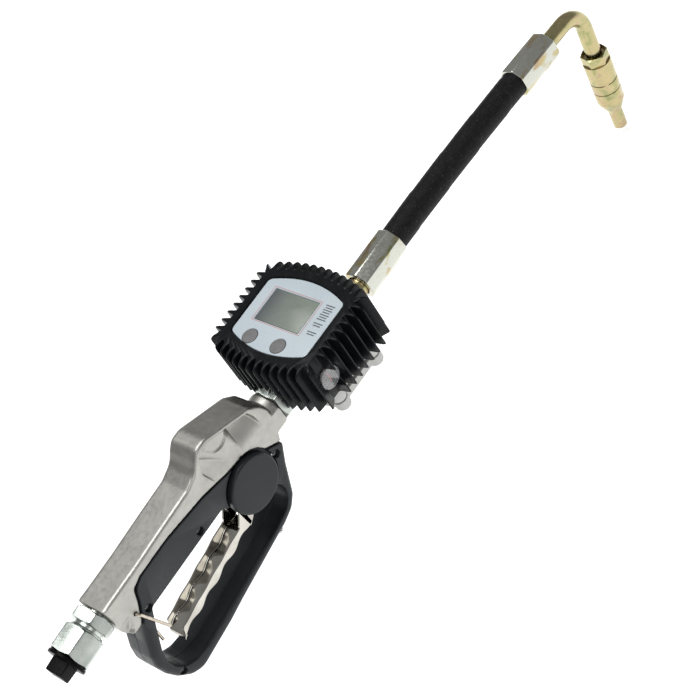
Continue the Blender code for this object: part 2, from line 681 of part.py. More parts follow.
def meter_base():
    """The cover under the measuring chamber, with a round lug at each corner."""
    outline = barrel_outline(27.0, 33.0, 4.0, 4.0)
    base = slab("meter_base", outline, BODY_BOTTOM + 2, BASE_TOP, "meter_body", (METER_X, 0))
    for x, y in LUGS:
        top = BASE_TOP - 0.4
        profile = [(BODY_BOTTOM, 0), (top, 0), (top, 5.8), (BODY_BOTTOM + 1.6, 5.8), (BODY_BOTTOM, 4.4)]
        add(base, turned(f"base_lug_{x:.0f}_{y:.0f}", profile, "meter_body", (METER_X + x, y, 0), Z_AXIS, 24))
    for x, y in LUGS:
        clear = [(-40, 0), (-20, 0), (-20, 1.9), (-29.5, 1.9), (-29.5, 3.6), (-40, 3.6)]
        cut(base, turned(f"base_hole_{x:.0f}_{y:.0f}", clear, "meter_body", (METER_X + x, y, 0), Z_AXIS, 16))
    for y in (-GEAR_R, GEAR_R):
        hole = rod_profile(-26.5, -20, 1.8)
        cut(base, turned(f"base_axle_{y:.0f}", hole, "meter_body", (METER_X, y, 0), Z_AXIS, 16))
    return base


def base_screws():
    for i, (x, y) in enumerate(LUGS):
        profile = [(-32.6, 0), (-17.0, 0), (-17.0, 1.6), (-29.8, 1.6), (-29.8, 3.2), (-32.6, 3.2)]
        screw = turned(f"base_screw_{i + 1}", profile, "zinc_plate", (METER_X + x, y, 0), Z_AXIS, 16)
        at = (METER_X + x, y, 0)
        cut(screw, hex_solid(f"base_screw_{i + 1}_socket", 2.5, -34, -31, "zinc_plate", at, Z_AXIS))


def measuring_rotors():
    for name, y, turn in (("left", -GEAR_R, 0.0), ("right", GEAR_R, math.pi / 2)):
        outline = [
            (x * math.cos(turn) - y0 * math.sin(turn), x * math.sin(turn) + y0 * math.cos(turn))
            for x, y0 in rotor_outline(GEAR_R - 0.25, GEAR_OVAL)
        ]
        rotor = slab("oval_rotor_" + name, outline, ROTOR_BOTTOM, ROTOR_TOP, "black_plastic", (METER_X, y))
        hole = rod_profile(-40, 10, 1.55)
        cut(rotor, turned(f"rotor_hole_{name}", hole, "black_plastic", (METER_X, y, 0), Z_AXIS, 16))
        axle = rod_profile(-26.2, ROTOR_TOP + 0.2, 1.5)
        turned("rotor_axle_" + name, axle, "polished_steel", (METER_X, y, 0), Z_AXIS, 16)


def electronics():
    outside = barrel_outline(33.6, 38.6, 7.0, 4.0)
    housing = slab("display_housing", outside, BODY_TOP + GAP, 24.0, "black_plastic", (METER_X, 0))
    inside = barrel_outline(31.0, 36.0, 7.0, 4.0)
    cut(housing, slab("housing_inside", inside, BODY_TOP - 1, 19.0, "black_plastic", (METER_X, 0)))
    cut(housing, box("housing_display", (254.1, -16.9, 10), (280.9, 24.6, 30)))
    for name, y in BUTTONS.items():
        hole = turned(name + "_hole", rod_profile(10, 30, 6.1), "black_plastic", (BUTTON_X, y, 0), Z_AXIS, 24)
        cut(housing, hole)
    slab("circuit_board", barrel_outline(29.5, 34.0, 7.0, 4.0), 13.4, 15.0, "circuit_green", (METER_X, 0))
    turned("battery", rod_profile(5.2, 12.8, 12.2), "zinc_plate", (METER_X + 8, -14, 0), Z_AXIS, 32)
    box("display_glass", (254.4, -16.6, 17.4), (280.6, 24.3, 24.6), "display")


def label_and_buttons():
    label = slab("label_plate", barrel_outline(30.1, 34.9, 7.6, 3.0), 24.4, LABEL_Z, "label", (METER_X, 0))
    cut(label, box("label_window", (254.0, -17.0, 20), (281.0, 24.7, 30)))
    for name, y in BUTTONS.items():
        cut(label, turned(name + "_opening", rod_profile(10, 30, 6.2), "label", (BUTTON_X, y, 0), Z_AXIS, 24))
        profile = [(17.0, 0), (27.1, 0), (27.1, 5.4), (26.6, 5.9), (17.0, 5.9)]
        turned(name, profile, "button_grey", (BUTTON_X, y, 0), Z_AXIS, 24)


def sight_window():
    turned("sight_window", rod_profile(41.6, 43.6, SIGHT_R), "clear_plastic", SIGHT_AT, -Y_AXIS, 32)
    turned("sight_plate", rod_profile(40.2, 41.3, SIGHT_R), "button_grey", SIGHT_AT, -Y_AXIS, 32)


# ---------------------------------------------------------------- hose line


def hose_fitting():
    profile = [
        (287.0, FLOW_BORE_R), (330.5, FLOW_BORE_R), (330.5, 8.0), (312.0, 8.0), (312.0, 9.2), (309.0, 9.2),
        (299.0, 9.2), (299.0, 9.8), (287.0, 9.8),
    ]
    turned("hose_fitting", profile, "yellow_zinc", (0, 0, FLOW_Z), X_AXIS, 24)


def ferrule(name, start, direction, length, neck_at_start):
    """An eight-sided crimped sleeve, open to the hose at one end and closed round the neck."""
    sleeve = hex_solid(name, FERRULE_FLATS, 0, length, "yellow_zinc", start, direction, math.radians(10), 8)
    bevelled(sleeve, 0.8, 2, 60)
    neck_r = 8.3 if neck_at_start else TUBE_R + GAP
    closed = 3.0 if neck_at_start else length - 3.0
    low_r, high_r = (neck_r, HOSE_R + GAP) if neck_at_start else (HOSE_R + GAP, neck_r)
    bore = [(-1, 0), (length + 1, 0), (length + 1, high_r), (closed, high_r), (closed, low_r), (-1, low_r)]
    return cut(sleeve, turned(name + "_bore", bore, "yellow_zinc", start, direction, 24))


def smooth_route(points, steps):
    """Points along a smooth curve through the route's own points."""
    path = [Vector((x, 0, z)) for x, z in points]
    path = [2 * path[0] - path[1]] + path + [2 * path[-1] - path[-2]]
    found = []
    for a, b, c, d in zip(path, path[1:], path[2:], path[3:]):
        for i in range(steps):
            t = i / steps
            square = 2 * a - 5 * b + 4 * c - d
            cube = 3 * b - a - 3 * c + d
            found.append(0.5 * (2 * b + (c - a) * t + square * t**2 + cube * t**3))
    found.append(path[-2])
    return found


def hose():
    curve = bpy.data.curves.new("hose", "CURVE")
    curve.dimensions = "3D"
    curve.bevel_depth = HOSE_R * MM
    curve.bevel_resolution = 4
    curve.use_fill_caps = True
    route = smooth_route(HOSE_ROUTE, 2)
    spline = curve.splines.new("POLY")
    spline.points.add(len(route) - 1)
    for point, place in zip(spline.points, route):
        point.co = (*(place * MM), 1)
    curve.materials.append(material("black_rubber"))
    obj = bpy.data.objects.new("hose", curve)
    bpy.context.scene.collection.objects.link(obj)
    return obj


def outlet_tube():
    """The bent steel tube: straight out of the upper ferrule, a right-angle bend, down to the nozzle."""
    run = Vector((math.cos(HOSE_END_SLOPE), 0, math.sin(HOSE_END_SLOPE)))
    bend_start = Vector(TUBE_BEND_START)
    centre = bend_start + NOZZLE_AXIS * BEND_R
    path = [bend_start - run * 29.0, bend_start - run * 0.01]
    for i in range(1, 8):
        angle = math.pi / 2 * i / 7
        path.append(centre + run * BEND_R * math.sin(angle) - NOZZLE_AXIS * BEND_R * math.cos(angle))
    path.append(path[-1] + NOZZLE_AXIS * TUBE_DOWN)
    data = bmesh.new()
    sides = 16
    rings = []
    for i, place in enumerate(path):
        heading = (path[min(i + 1, len(path) - 1)] - path[max(i - 1, 0)]).normalized()
        across = Y_AXIS.cross(heading)
        ring = []
        for radius in (TUBE_R, TUBE_R - 1.5):
            circle = []
            for k in range(sides):
                turn = math.tau * k / sides
                spoke = Y_AXIS * math.cos(turn) + across * math.sin(turn)
                circle.append(data.verts.new(place + spoke * radius))
            ring.append(circle)
        rings.append(ring)
    for k in range(sides):
        n = (k + 1) % sides
        for (outer, inner), (outer2, inner2) in zip(rings, rings[1:]):
            data.faces.new((outer[k], outer[n], outer2[n], outer2[k]))
            data.faces.new((inner[n], inner[k], inner2[k], inner2[n]))
        for outer, inner in (rings[0], rings[-1]):
            data.faces.new((outer[k], outer[n], inner[n], inner[k]))
    bmesh.ops.recalc_face_normals(data, faces=data.faces)
    return new_object("outlet_tube", data, "yellow_zinc")


# ---------------------------------------------------------------- nozzle


def nozzle():
    at, down = NOZZLE_TOP, NOZZLE_AXIS
    profile = [
        (0.0, 9.3), (7.0, 9.3), (7.0, TUBE_R + GAP), (20.0, TUBE_R + GAP), (20.0, 8.4), (35.4, 8.4),
        (35.4, 10.9), (26.8, 10.9), (26.3, 10.5), (25.8, 10.9), (8.8, 10.9), (8.3, 10.4), (7.8, 10.9),
        (1.2, 10.9), (0.0, 10.2),
    ]
    turned("nozzle_sleeve", profile, "yellow_zinc", at, down, 24)
    tip = [
        (76.0, 3.6), (76.0, 4.4), (74.6, 5.4), (58.5, 5.6), (52.0, 9.6), (47.0, 10.9), (35.7, 10.9),
        (35.7, 8.1), (26.0, 8.1), (26.0, 6.8), (46.0, 6.8), (50.0, 3.6),
    ]
    turned("nozzle_tip", tip, "yellow_zinc", at, down, 24)
    turned("nozzle_seat", tube_profile(21.0, 23.6, 8.0, 4.2), "black_rubber", at, down, 24)
    poppet = [(24.0, 0), (36.0, 0), (36.0, 2.4), (27.4, 2.4), (27.4, 5.8), (24.0, 5.8)]
    turned("nozzle_poppet", poppet, "brass", at, down, 24)
    coil_spring("nozzle_spring", at + down * 27.9, down, 4.3, 0.6, 17.6, 5)


def build():
    clear_scene()
    valve_casting()
    inlet_nut()
    inlet_plug()
    inlet_washer()
    inlet_adapter()
    valve_train()
    trigger()
    lift_cam()
    pivot_pin()
    pivot_caps()
    guard_half(-1, "guard_shell_left")
    guard_half(1, "guard_shell_right")
    guard_screws()
    latch_wire()
    outlet_adapter()
    rubber_cover()
    meter_body()
    meter_base()
    base_screws()
    measuring_rotors()
    electronics()
    label_and_buttons()
    sight_window()
    hose_fitting()
    ferrule("ferrule_lower", (FERRULE_LOWER_X, 0, FLOW_Z), X_AXIS, FERRULE_LENGTH, True)
    hose()
    upper = Vector((math.cos(HOSE_END_SLOPE), 0, math.sin(HOSE_END_SLOPE)))
    ferrule("ferrule_upper", FERRULE_UPPER_AT, upper, FERRULE_LENGTH, False)
    outlet_tube()
    nozzle()


build()
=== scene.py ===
"""Looks for the hand-held metered oil dispensing gun.

Lengths are in millimetres until a builder multiplies them by MM. The frame is the CAD's own:
+X runs from the inlet to the nozzle, +Z is the way the display faces, and the origin is the
centre of the inlet nut's mouth.
"""

import math

import bmesh
import bpy
from mathutils import Matrix, Vector


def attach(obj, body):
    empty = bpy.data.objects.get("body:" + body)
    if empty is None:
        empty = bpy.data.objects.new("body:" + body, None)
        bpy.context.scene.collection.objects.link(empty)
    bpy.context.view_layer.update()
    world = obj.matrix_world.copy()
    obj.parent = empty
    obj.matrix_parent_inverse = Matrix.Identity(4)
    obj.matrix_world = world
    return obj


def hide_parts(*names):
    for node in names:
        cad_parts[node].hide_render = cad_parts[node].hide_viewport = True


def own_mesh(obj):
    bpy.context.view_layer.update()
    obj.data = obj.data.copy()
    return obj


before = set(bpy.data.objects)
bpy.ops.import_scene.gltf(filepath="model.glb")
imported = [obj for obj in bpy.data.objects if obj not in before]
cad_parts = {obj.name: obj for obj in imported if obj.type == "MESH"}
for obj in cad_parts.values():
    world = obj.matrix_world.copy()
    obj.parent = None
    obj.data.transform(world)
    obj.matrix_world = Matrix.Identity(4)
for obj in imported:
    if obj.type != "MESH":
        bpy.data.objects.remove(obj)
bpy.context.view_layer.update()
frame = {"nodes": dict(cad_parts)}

MM = 0.001
X_AXIS = Vector((1, 0, 0))
Y_AXIS = Vector((0, 1, 0))
Z_AXIS = Vector((0, 0, 1))
SHARP_DEGREES = 32

INLET_TILT = math.radians(3.4)
INLET_AXIS = Vector((math.cos(INLET_TILT), 0, math.sin(INLET_TILT)))
FLOW_Z = -12.0
PIVOT = (165.5, -27.9)
STEM_X = 158.0
CASTING_HALF = 13.0
GUARD_HALF = 13.5
GUARD_EDGE_R = 4.6
METER_X = 263.1
HOSE_SLOPE = math.radians(-3.9)
HOSE_RUN = Vector((math.cos(HOSE_SLOPE), 0, math.sin(HOSE_SLOPE)))
NOZZLE_TOP = Vector((597.9, 0, -66.6))
NOZZLE_AXIS = Vector((math.sin(HOSE_SLOPE), 0, -math.cos(HOSE_SLOPE)))


# ---------------------------------------------------------------- shading tools


class Shader:
    """A material and short calls that add and wire its nodes."""

    def __init__(self, name, **values):
        self.material = bpy.data.materials.new(name)
        self.material.use_nodes = True
        self.nodes = self.material.node_tree.nodes
        self.links = self.material.node_tree.links
        self.bsdf = self.nodes["Principled BSDF"]
        self.place = self.nodes.new("ShaderNodeTexCoord").outputs["Object"]
        for socket, value in values.items():
            self.bsdf.inputs[socket.replace("_", " ")].default_value = value

    def noise(self, size_mm, detail=3.0, stretch=(1, 1, 1), distortion=0.0):
        """A noise pattern whose features are about size_mm across."""
        mapping = self.nodes.new("ShaderNodeMapping")
        mapping.inputs["Scale"].default_value = stretch
        self.links.new(self.place, mapping.inputs["Vector"])
        node = self.nodes.new("ShaderNodeTexNoise")
        node.inputs["Scale"].default_value = 1 / (size_mm * MM)
        node.inputs["Detail"].default_value = detail
        node.inputs["Distortion"].default_value = distortion
        self.links.new(mapping.outputs["Vector"], node.inputs["Vector"])
        return node.outputs["Fac"]

    def ramp(self, fac, *stops):
        """A colour ramp; each stop is (position, colour or grey)."""
        node = self.nodes.new("ShaderNodeValToRGB")
        bands = node.color_ramp.elements
        while len(bands) < len(stops):
            bands.new(0.5)
        for band, (position, colour) in zip(bands, stops):
            colour = colour if isinstance(colour, tuple) else (colour, colour, colour)
            band.position = position
            band.color = (*colour, 1)
        self.links.new(fac, node.inputs["Fac"])
        return node.outputs["Color"]

    def mix(self, fac, a, b):
        node = self.nodes.new("ShaderNodeMix")
        node.data_type = "RGBA"
        self.links.new(fac, node.inputs[0])
        for socket, value in ((node.inputs[6], a), (node.inputs[7], b)):
            if isinstance(value, tuple):
                socket.default_value = (*value, 1)
            else:
                self.links.new(value, socket)
        return node.outputs[2]

    def colour(self, output):
        self.links.new(output, self.bsdf.inputs["Base Color"])

    def tones(self, dark, light, *noise):
        """A base colour that drifts between two tones in clouds."""
        self.colour(self.ramp(self.noise(*noise), (0.3, dark), (0.7, light)))

    def rough(self, low, high, *noise):
        """A roughness that drifts between two values."""
        fac = self.noise(*noise)
        node = self.nodes.new("ShaderNodeMapRange")
        node.inputs["To Min"].default_value = low
        node.inputs["To Max"].default_value = high
        node.inputs["From Min"].default_value = 0.3
        node.inputs["From Max"].default_value = 0.7
        self.links.new(fac, node.inputs["Value"])
        self.links.new(node.outputs["Result"], self.bsdf.inputs["Roughness"])

    def bump(self, depth_mm, *noise, strength=1.0):
        """Small relief, added to any that the material already has."""
        fac = self.noise(*noise)
        node = self.nodes.new("ShaderNodeBump")
        node.inputs["Distance"].default_value = depth_mm * MM
        node.inputs["Strength"].default_value = strength
        self.links.new(fac, node.inputs["Height"])
        previous = self.bsdf.inputs["Normal"].links
        if previous:
            self.links.new(previous[0].from_socket, node.inputs["Normal"])
        self.links.new(node.outputs["Normal"], self.bsdf.inputs["Normal"])


def cast_metal():
    s = Shader("cast_aluminium_satin", Metallic=1.0)
    cloud = s.noise(14, 4)
    s.colour(s.ramp(cloud, (0.3, (0.37, 0.365, 0.34)), (0.7, (0.43, 0.425, 0.395))))
    s.rough(0.36, 0.50, 3, 5)
    s.bump(0.03, 0.5, 2)
    s.bump(0.05, 6, 2, strength=0.5)
    return s.material


def zinc():
    s = Shader("zinc_plated_steel", Metallic=1.0)
    tint = s.noise(9, 3)
    s.colour(s.ramp(tint, (0.35, (0.44, 0.48, 0.45)), (0.65, (0.56, 0.59, 0.555))))
    s.rough(0.22, 0.32, 2.5, 4)
    s.bump(0.006, 0.6, 2)
    return s.material


def yellow_zinc(name, bare):
    """Yellow chromate on zinc: gold with olive and pink bands, worn to bare silver in places."""
    s = Shader(name, Metallic=1.0)
    bands = s.ramp(
        s.noise(11, 3, (0.6, 1, 1), 0.8),
        (0.28, (0.30, 0.31, 0.145)),
        (0.42, (0.43, 0.39, 0.20)),
        (0.54, (0.49, 0.41, 0.22)),
        (0.68, (0.42, 0.31, 0.21)),
    )
    silver = s.ramp(s.noise(8, 4, (0.5, 1, 1), 0.5), (0.62 - bare, 0.0), (0.74 - bare, 1.0))
    s.colour(s.mix(silver, bands, (0.55, 0.56, 0.50)))
    s.rough(0.18, 0.32, 2, 4)
    s.bump(0.012, 0.5, 2)
    return s.material


def nickel():
    s = Shader("bright_nickel", Metallic=1.0)
    s.tones((0.44, 0.42, 0.38), (0.58, 0.56, 0.51), 12, 2)
    s.rough(0.08, 0.16, 4, 4)
    s.bump(0.06, 7, 2, strength=0.6)
    return s.material


def spring_wire():
    s = Shader("spring_wire", Metallic=1.0)
    s.tones(0.38, 0.50, 3, 3)
    s.rough(0.22, 0.38, 1, 3)
    return s.material


def bail_wire():
    s = Shader("bail_wire", Metallic=1.0)
    s.tones((0.42, 0.37, 0.30), (0.58, 0.52, 0.44), 4, 3)
    s.rough(0.22, 0.36, 1.5, 3)
    s.bump(0.01, 0.5, 2)
    return s.material


def brass():
    s = Shader("machined_brass", Metallic=1.0)
    s.tones((0.62, 0.44, 0.18), (0.76, 0.57, 0.27), 5, 3)
    s.rough(0.20, 0.36, 1.5, 3, (0.2, 1, 1))
    return s.material


def charcoal_plastic():
    s = Shader("charcoal_plastic", Specular_IOR_Level=0.24)
    s.tones((0.011, 0.0135, 0.016), (0.015, 0.018, 0.021), 25, 3)
    s.rough(0.30, 0.40, 3, 4)
    s.bump(0.02, 0.35, 2)
    return s.material


def black_plug_plastic():
    s = Shader("black_plug_plastic", Specular_IOR_Level=0.05)
    s.tones(0.002, 0.005, 8, 3)
    s.rough(0.30, 0.42, 2, 4)
    s.bump(0.015, 0.5, 2)
    return s.material


def cover_rubber():
    s = Shader("cover_rubber", Specular_IOR_Level=0.14)
    s.tones((0.0035, 0.004, 0.005), (0.007, 0.008, 0.010), 10, 4)
    s.rough(0.26, 0.40, 2.5, 4)
    s.bump(0.015, 0.3, 2)
    s.bump(0.08, 5, 2, strength=0.5)
    return s.material


def hose_rubber():
    """Cloth-wrapped black hose: fine wrap print, a spiral seam, and pale specks of talc."""
    s = Shader("wrapped_hose_rubber", Specular_IOR_Level=0.14)
    base = s.ramp(s.noise(4, 4), (0.3, (0.005, 0.005, 0.0055)), (0.7, (0.011, 0.011, 0.012)))
    specks = s.ramp(s.noise(0.8, 2), (0.66, 0.0), (0.74, 1.0))
    s.colour(s.mix(specks, base, (0.10, 0.10, 0.10)))
    s.rough(0.46, 0.66, 2, 4)
    s.bump(0.07, 0.5, 3)
    s.bump(0.10, 1.3, 2, (0.3, 1, 1), strength=0.6)
    return s.material


def black_rubber():
    s = Shader("seal_rubber")
    s.tones(0.010, 0.018, 3, 3)
    s.rough(0.45, 0.6, 1, 3)
    return s.material


def meter_paint():
    s = Shader("meter_body_coating", Metallic=0.25, Specular_IOR_Level=0.3)
    s.tones((0.45, 0.45, 0.435), (0.52, 0.52, 0.50), 12, 4)
    s.rough(0.40, 0.52, 2, 4)
    s.bump(0.04, 0.6, 3)
    return s.material


def label_film():
    s = Shader("label_film", Coat_Weight=0.3, Coat_Roughness=0.15)
    s.tones((0.50, 0.575, 0.62), (0.54, 0.61, 0.65), 30, 2)
    s.rough(0.26, 0.34, 2, 3)
    s.bump(0.006, 0.5, 2)
    return s.material


def print_ink(name, colour):
    s = Shader(name)
    darker = tuple(c * 0.85 for c in colour)
    s.tones(darker, colour, 1.5, 2)
    s.rough(0.35, 0.45, 1, 2)
    return s.material


def liquid_crystal():
    """The blank display: grey-green, with painted shade that makes it darker and bluer towards its far edge.
    """
    s = Shader("liquid_crystal", Coat_Weight=0.2, Coat_Roughness=0.2, Specular_IOR_Level=0.2)
    split = s.nodes.new("ShaderNodeSeparateXYZ")
    s.links.new(s.place, split.inputs["Vector"])
    # Painted shade: the colour darkens and turns bluer from the near edge (y = -17 mm) to the far edge (y =
    # 24 mm).
    painted_shade_fade = s.nodes.new("ShaderNodeMapRange")
    painted_shade_fade.inputs["From Min"].default_value = 24.0 * MM
    painted_shade_fade.inputs["From Max"].default_value = -17.0 * MM
    s.links.new(split.outputs["Y"], painted_shade_fade.inputs["Value"])
    shade = s.ramp(
        painted_shade_fade.outputs["Result"],
        (0.0, (0.105, 0.118, 0.125)),
        (0.35, (0.20, 0.225, 0.205)),
        (1.0, (0.235, 0.27, 0.225)),
    )
    grain = s.ramp(s.noise(7, 2), (0.3, 0.93), (0.7, 1.0))
    product = s.nodes.new("ShaderNodeMix")
    product.data_type = "RGBA"
    product.blend_type = "MULTIPLY"
    product.inputs[0].default_value = 1.0
    s.links.new(shade, product.inputs[6])
    s.links.new(grain, product.inputs[7])
    s.colour(product.outputs[2])
    s.rough(0.16, 0.22, 3, 2)
    return s.material


def button_plastic():
    s = Shader("button_plastic")
    s.tones(0.150, 0.185, 2.5, 3)
    s.rough(0.42, 0.52, 1.5, 3)
    s.bump(0.01, 0.3, 2)
    return s.material


def clear_lens():
    s = Shader("clear_lens", Transmission_Weight=0.85, IOR=1.45, Coat_Weight=0.5)
    s.tones(0.82, 0.88, 6, 2)
    s.rough(0.06, 0.12, 2, 2)
    return s.material


def circuit_board():
    s = Shader("solder_mask")
    s.colour(s.ramp(s.noise(2, 2), (0.45, (0.010, 0.10, 0.05)), (0.55, (0.02, 0.17, 0.09))))
    s.rough(0.3, 0.42, 1, 2)
    return s.material


def pale_floor():
    s = Shader("pale_floor")
    s.tones(0.86, 0.90, 300, 2)
    s.rough(0.7, 0.8, 40, 2)
    s.bsdf.inputs["Emission Color"].default_value = (1, 1, 1, 1)
    s.bsdf.inputs["Emission Strength"].default_value = 0.68
    return s.material


MATERIALS = {
    "cast": cast_metal(),
    "zinc": zinc(),
    "yellow": yellow_zinc("yellow_chromate_worn", 0.22),
    "gold": yellow_zinc("yellow_chromate_fresh", 0.0),
    "nickel": nickel(),
    "wire": spring_wire(),
    "brass": brass(),
    "plastic": charcoal_plastic(),
    "plug": black_plug_plastic(),
    "cover": cover_rubber(),
    "hose": hose_rubber(),
    "seal": black_rubber(),
    "paint": meter_paint(),
    "label": label_film(),
    "grey_ink": print_ink("grey_ink", (0.10, 0.11, 0.12)),
    "red_ink": print_ink("red_ink", (0.55, 0.16, 0.14)),
    "lcd": liquid_crystal(),
    "button": button_plastic(),
    "lens": clear_lens(),
    "board": circuit_board(),
    "red": print_ink("red_pointer", (0.65, 0.02, 0.02)),
    "dial": print_ink("sight_dial", (0.035, 0.037, 0.04)),
    "bail": bail_wire(),
    "floor": pale_floor(),
}


# ---------------------------------------------------------------- mesh tools


def finish_mesh(name, data, look, at=(0, 0, 0), rotation=None, sharp=SHARP_DEGREES):
    """A bmesh in millimetres becomes an object whose mesh is placed in world metres."""
    transform = Matrix.Translation(Vector(at))
    if rotation is not None:
        transform = transform @ rotation.to_4x4()
    bmesh.ops.transform(data, matrix=Matrix.Scale(MM, 4) @ transform, verts=data.verts)
    bmesh.ops.recalc_face_normals(data, faces=data.faces)
    mesh = bpy.data.meshes.new(name)
    data.to_mesh(mesh)
    data.free()
    mesh.shade_smooth()
    mesh.set_sharp_from_angle(angle=math.radians(sharp))
    mesh.materials.append(MATERIALS[look])
    obj = bpy.data.objects.new(name, mesh)
    bpy.context.scene.collection.objects.link(obj)
    return obj


def stands_for(obj, body, slot, *nodes):
    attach(obj, body)
    if nodes:
        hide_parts(*nodes)
    return obj


def along(direction):
    """The rotation that takes +Z to a direction and +X as near +Y as it can."""
    z = Vector(direction).normalized()
    x = Y_AXIS - z * Y_AXIS.dot(z)
    x = x.normalized() if x.length > 1e-6 else X_AXIS
    return Matrix((x, z.cross(x), z)).transposed()


def filleted(points, radius=3.0, special=None, steps=6):
    """A closed outline with each corner rounded; special gives some corners their own radius."""
    special = special or {}
    count = len(points)
    found = []
    for i, point in enumerate(points):
        corner = Vector(point)
        back = Vector(points[i - 1]) - corner
        ahead = Vector(points[(i + 1) % count]) - corner
        wanted = special.get(i, radius)
        angle = back.angle(ahead)
        if wanted <= 0 or angle > math.radians(178):
            found.append(tuple(corner))
            continue
        reach = min(wanted / math.tan(angle / 2), back.length * 0.48, ahead.length * 0.48)
        start = corner + back.normalized() * reach
        end = corner + ahead.normalized() * reach
        for k in range(steps + 1):
            t = k / steps
            bent = start * (1 - t) ** 2 + corner * 2 * t * (1 - t) + end * t**2
            found.append(tuple(bent))
    return found


def inset(points, distances):
    """A closed counter-clockwise outline moved inwards, by its own distance at each point."""
    count = len(points)
    moved = []
    for i in range(count):
        here = Vector(points[i])
        before = (here - Vector(points[i - 1])).normalized()
        after = (Vector(points[(i + 1) % count]) - here).normalized()
        tangent = before + after
        tangent = tangent.normalized() if tangent.length > 1e-6 else after
        lean = max(tangent.dot(after), 0.5)
        normal = Vector((-tangent.y, tangent.x))
        moved.append(tuple(here + normal * distances[i] / lean))
    return moved


def counter_clockwise(points):
    area = sum(a[0] * b[1] - b[0] * a[1] for a, b in zip(points, points[1:] + points[:1]))
    return points if area > 0 else list(reversed(points))


def quarter(end, radius, inwards, steps):
    """(position, inset) pairs of one rounded edge; inwards is +1 or -1, away from that end."""
    if radius <= 0:
        return [(end, 0.0)]
    turns = [math.pi / 2 * k / steps for k in range(steps + 1)]
    return [(end + inwards * radius * (1 - math.sin(t)), radius * (1 - math.cos(t))) for t in turns]


def round_levels(low, high, round_low, round_high, steps=5):
    """(position, inset) pairs from low to high with quarter-circle edges at both ends."""
    levels = list(reversed(quarter(low, round_low, 1, steps)))
    return levels + quarter(high, round_high, -1, steps)


def ring_stack(data, rings):
    """Quads between rings of equal length, and an n-gon on the first and the last."""
    made = [[data.verts.new(point) for point in ring] for ring in rings]
    for low, high in zip(made, made[1:]):
        for i in range(len(low)):
            j = (i + 1) % len(low)
            data.faces.new((low[i], low[j], high[j], high[i]))
    data.faces.new(list(reversed(made[0])))
    data.faces.new(made[-1])
    return made


def pillow(name, outline, levels, look, axis="Y", at=(0, 0, 0)):
    """An outline stacked along Y or Z through (position, inset) levels."""
    outline = counter_clockwise(outline)
    data = bmesh.new()
    rings = []
    for position, depth in levels:
        shape = inset(outline, [depth] * len(outline))
        if axis == "Y":
            rings.append([(x, position, z) for x, z in shape])
        else:
            rings.append([(x, y, position) for x, y in shape])
    ring_stack(data, rings)
    return finish_mesh(name, data, look, at)


def turned(name, profile, look, at=(0, 0, 0), direction=X_AXIS, steps=96, sharp=SHARP_DEGREES):
    """A closed profile of (distance along the axis, radius) spun a full turn."""
    data = bmesh.new()
    rings = []
    for distance, radius in profile:
        if radius <= 0:
            rings.append([data.verts.new((0, 0, distance))])
            continue
        ring = []
        for k in range(steps):
            turn = math.tau * k / steps
            ring.append(data.verts.new((radius * math.cos(turn), radius * math.sin(turn), distance)))
        rings.append(ring)
    for low, high in zip(rings, rings[1:] + rings[:1]):
        if len(low) == 1 and len(high) == 1:
            continue
        for k in range(steps):
            n = (k + 1) % steps
            corners = [low[k % len(low)], low[n % len(low)], high[n % len(high)], high[k % len(high)]]
            unique = list(dict.fromkeys(corners))
            data.faces.new(unique)
    return finish_mesh(name, data, look, at, along(direction), sharp)


def rounded_profile(points, radius=0.5, special=None, steps=3):
    """A closed turning profile whose corners off the axis are rounded."""
    special = dict(special or {})
    for i, (_, r) in enumerate(points):
        if r <= 0:
            special[i] = 0
    return filleted(points, radius, special, steps)


def rod(start, end, radius):
    return [(start, 0), (end, 0), (end, radius), (start, radius)]


def boolean(target, other, operation="DIFFERENCE"):
    """Apply a Boolean at once and drop the cutter."""
    change = target.modifiers.new("shape", "BOOLEAN")
    change.operation = operation
    change.object = other
    change.solver = "EXACT"
    apply_modifiers(target)
    target.data.set_sharp_from_angle(angle=math.radians(SHARP_DEGREES))
    bpy.data.objects.remove(other, do_unlink=True)
    return target


def apply_modifiers(obj):
    graph = bpy.context.evaluated_depsgraph_get()
    mesh = bpy.data.meshes.new_from_object(obj.evaluated_get(graph))
    old = obj.data
    obj.modifiers.clear()
    obj.data = mesh
    bpy.data.meshes.remove(old)
    return obj


def softened(obj, voxel_mm, rounds):
    """Remesh to one even skin and relax it, so that every edge gets the radius of a casting."""
    change = obj.modifiers.new("skin", "REMESH")
    change.mode = "VOXEL"
    change.voxel_size = voxel_mm * MM
    change.use_smooth_shade = True
    relax = obj.modifiers.new("relax", "SMOOTH")
    relax.factor = 0.5
    relax.iterations = rounds
    return apply_modifiers(obj)


def tube(name, path, radius, look, sides):
    """A closed round rod along a list of points."""
    data = bmesh.new()
    rings = []
    up = Y_AXIS.copy()
    for i, place in enumerate(path):
        heading = (path[min(i + 1, len(path) - 1)] - path[max(i - 1, 0)]).normalized()
        up = (up - heading * up.dot(heading)).normalized()
        across = heading.cross(up)
        ring = []
        for k in range(sides):
            turn = math.tau * k / sides
            ring.append(place + (up * math.cos(turn) + across * math.sin(turn)) * radius)
        rings.append(ring)
    ring_stack(data, rings)
    return finish_mesh(name, data, look)


def smooth_path(points, steps):
    """Points along a Catmull-Rom curve through a route."""
    path = [Vector(p) for p in points]
    path = [2 * path[0] - path[1]] + path + [2 * path[-1] - path[-2]]
    found = []
    for a, b, c, d in zip(path, path[1:], path[2:], path[3:]):
        for i in range(steps):
            t = i / steps
            square = 2 * a - 5 * b + 4 * c - d
            cube = 3 * b - a - 3 * c + d
            found.append(0.5 * (2 * b + (c - a) * t + square * t**2 + cube * t**3))
    found.append(path[-2])
    return found


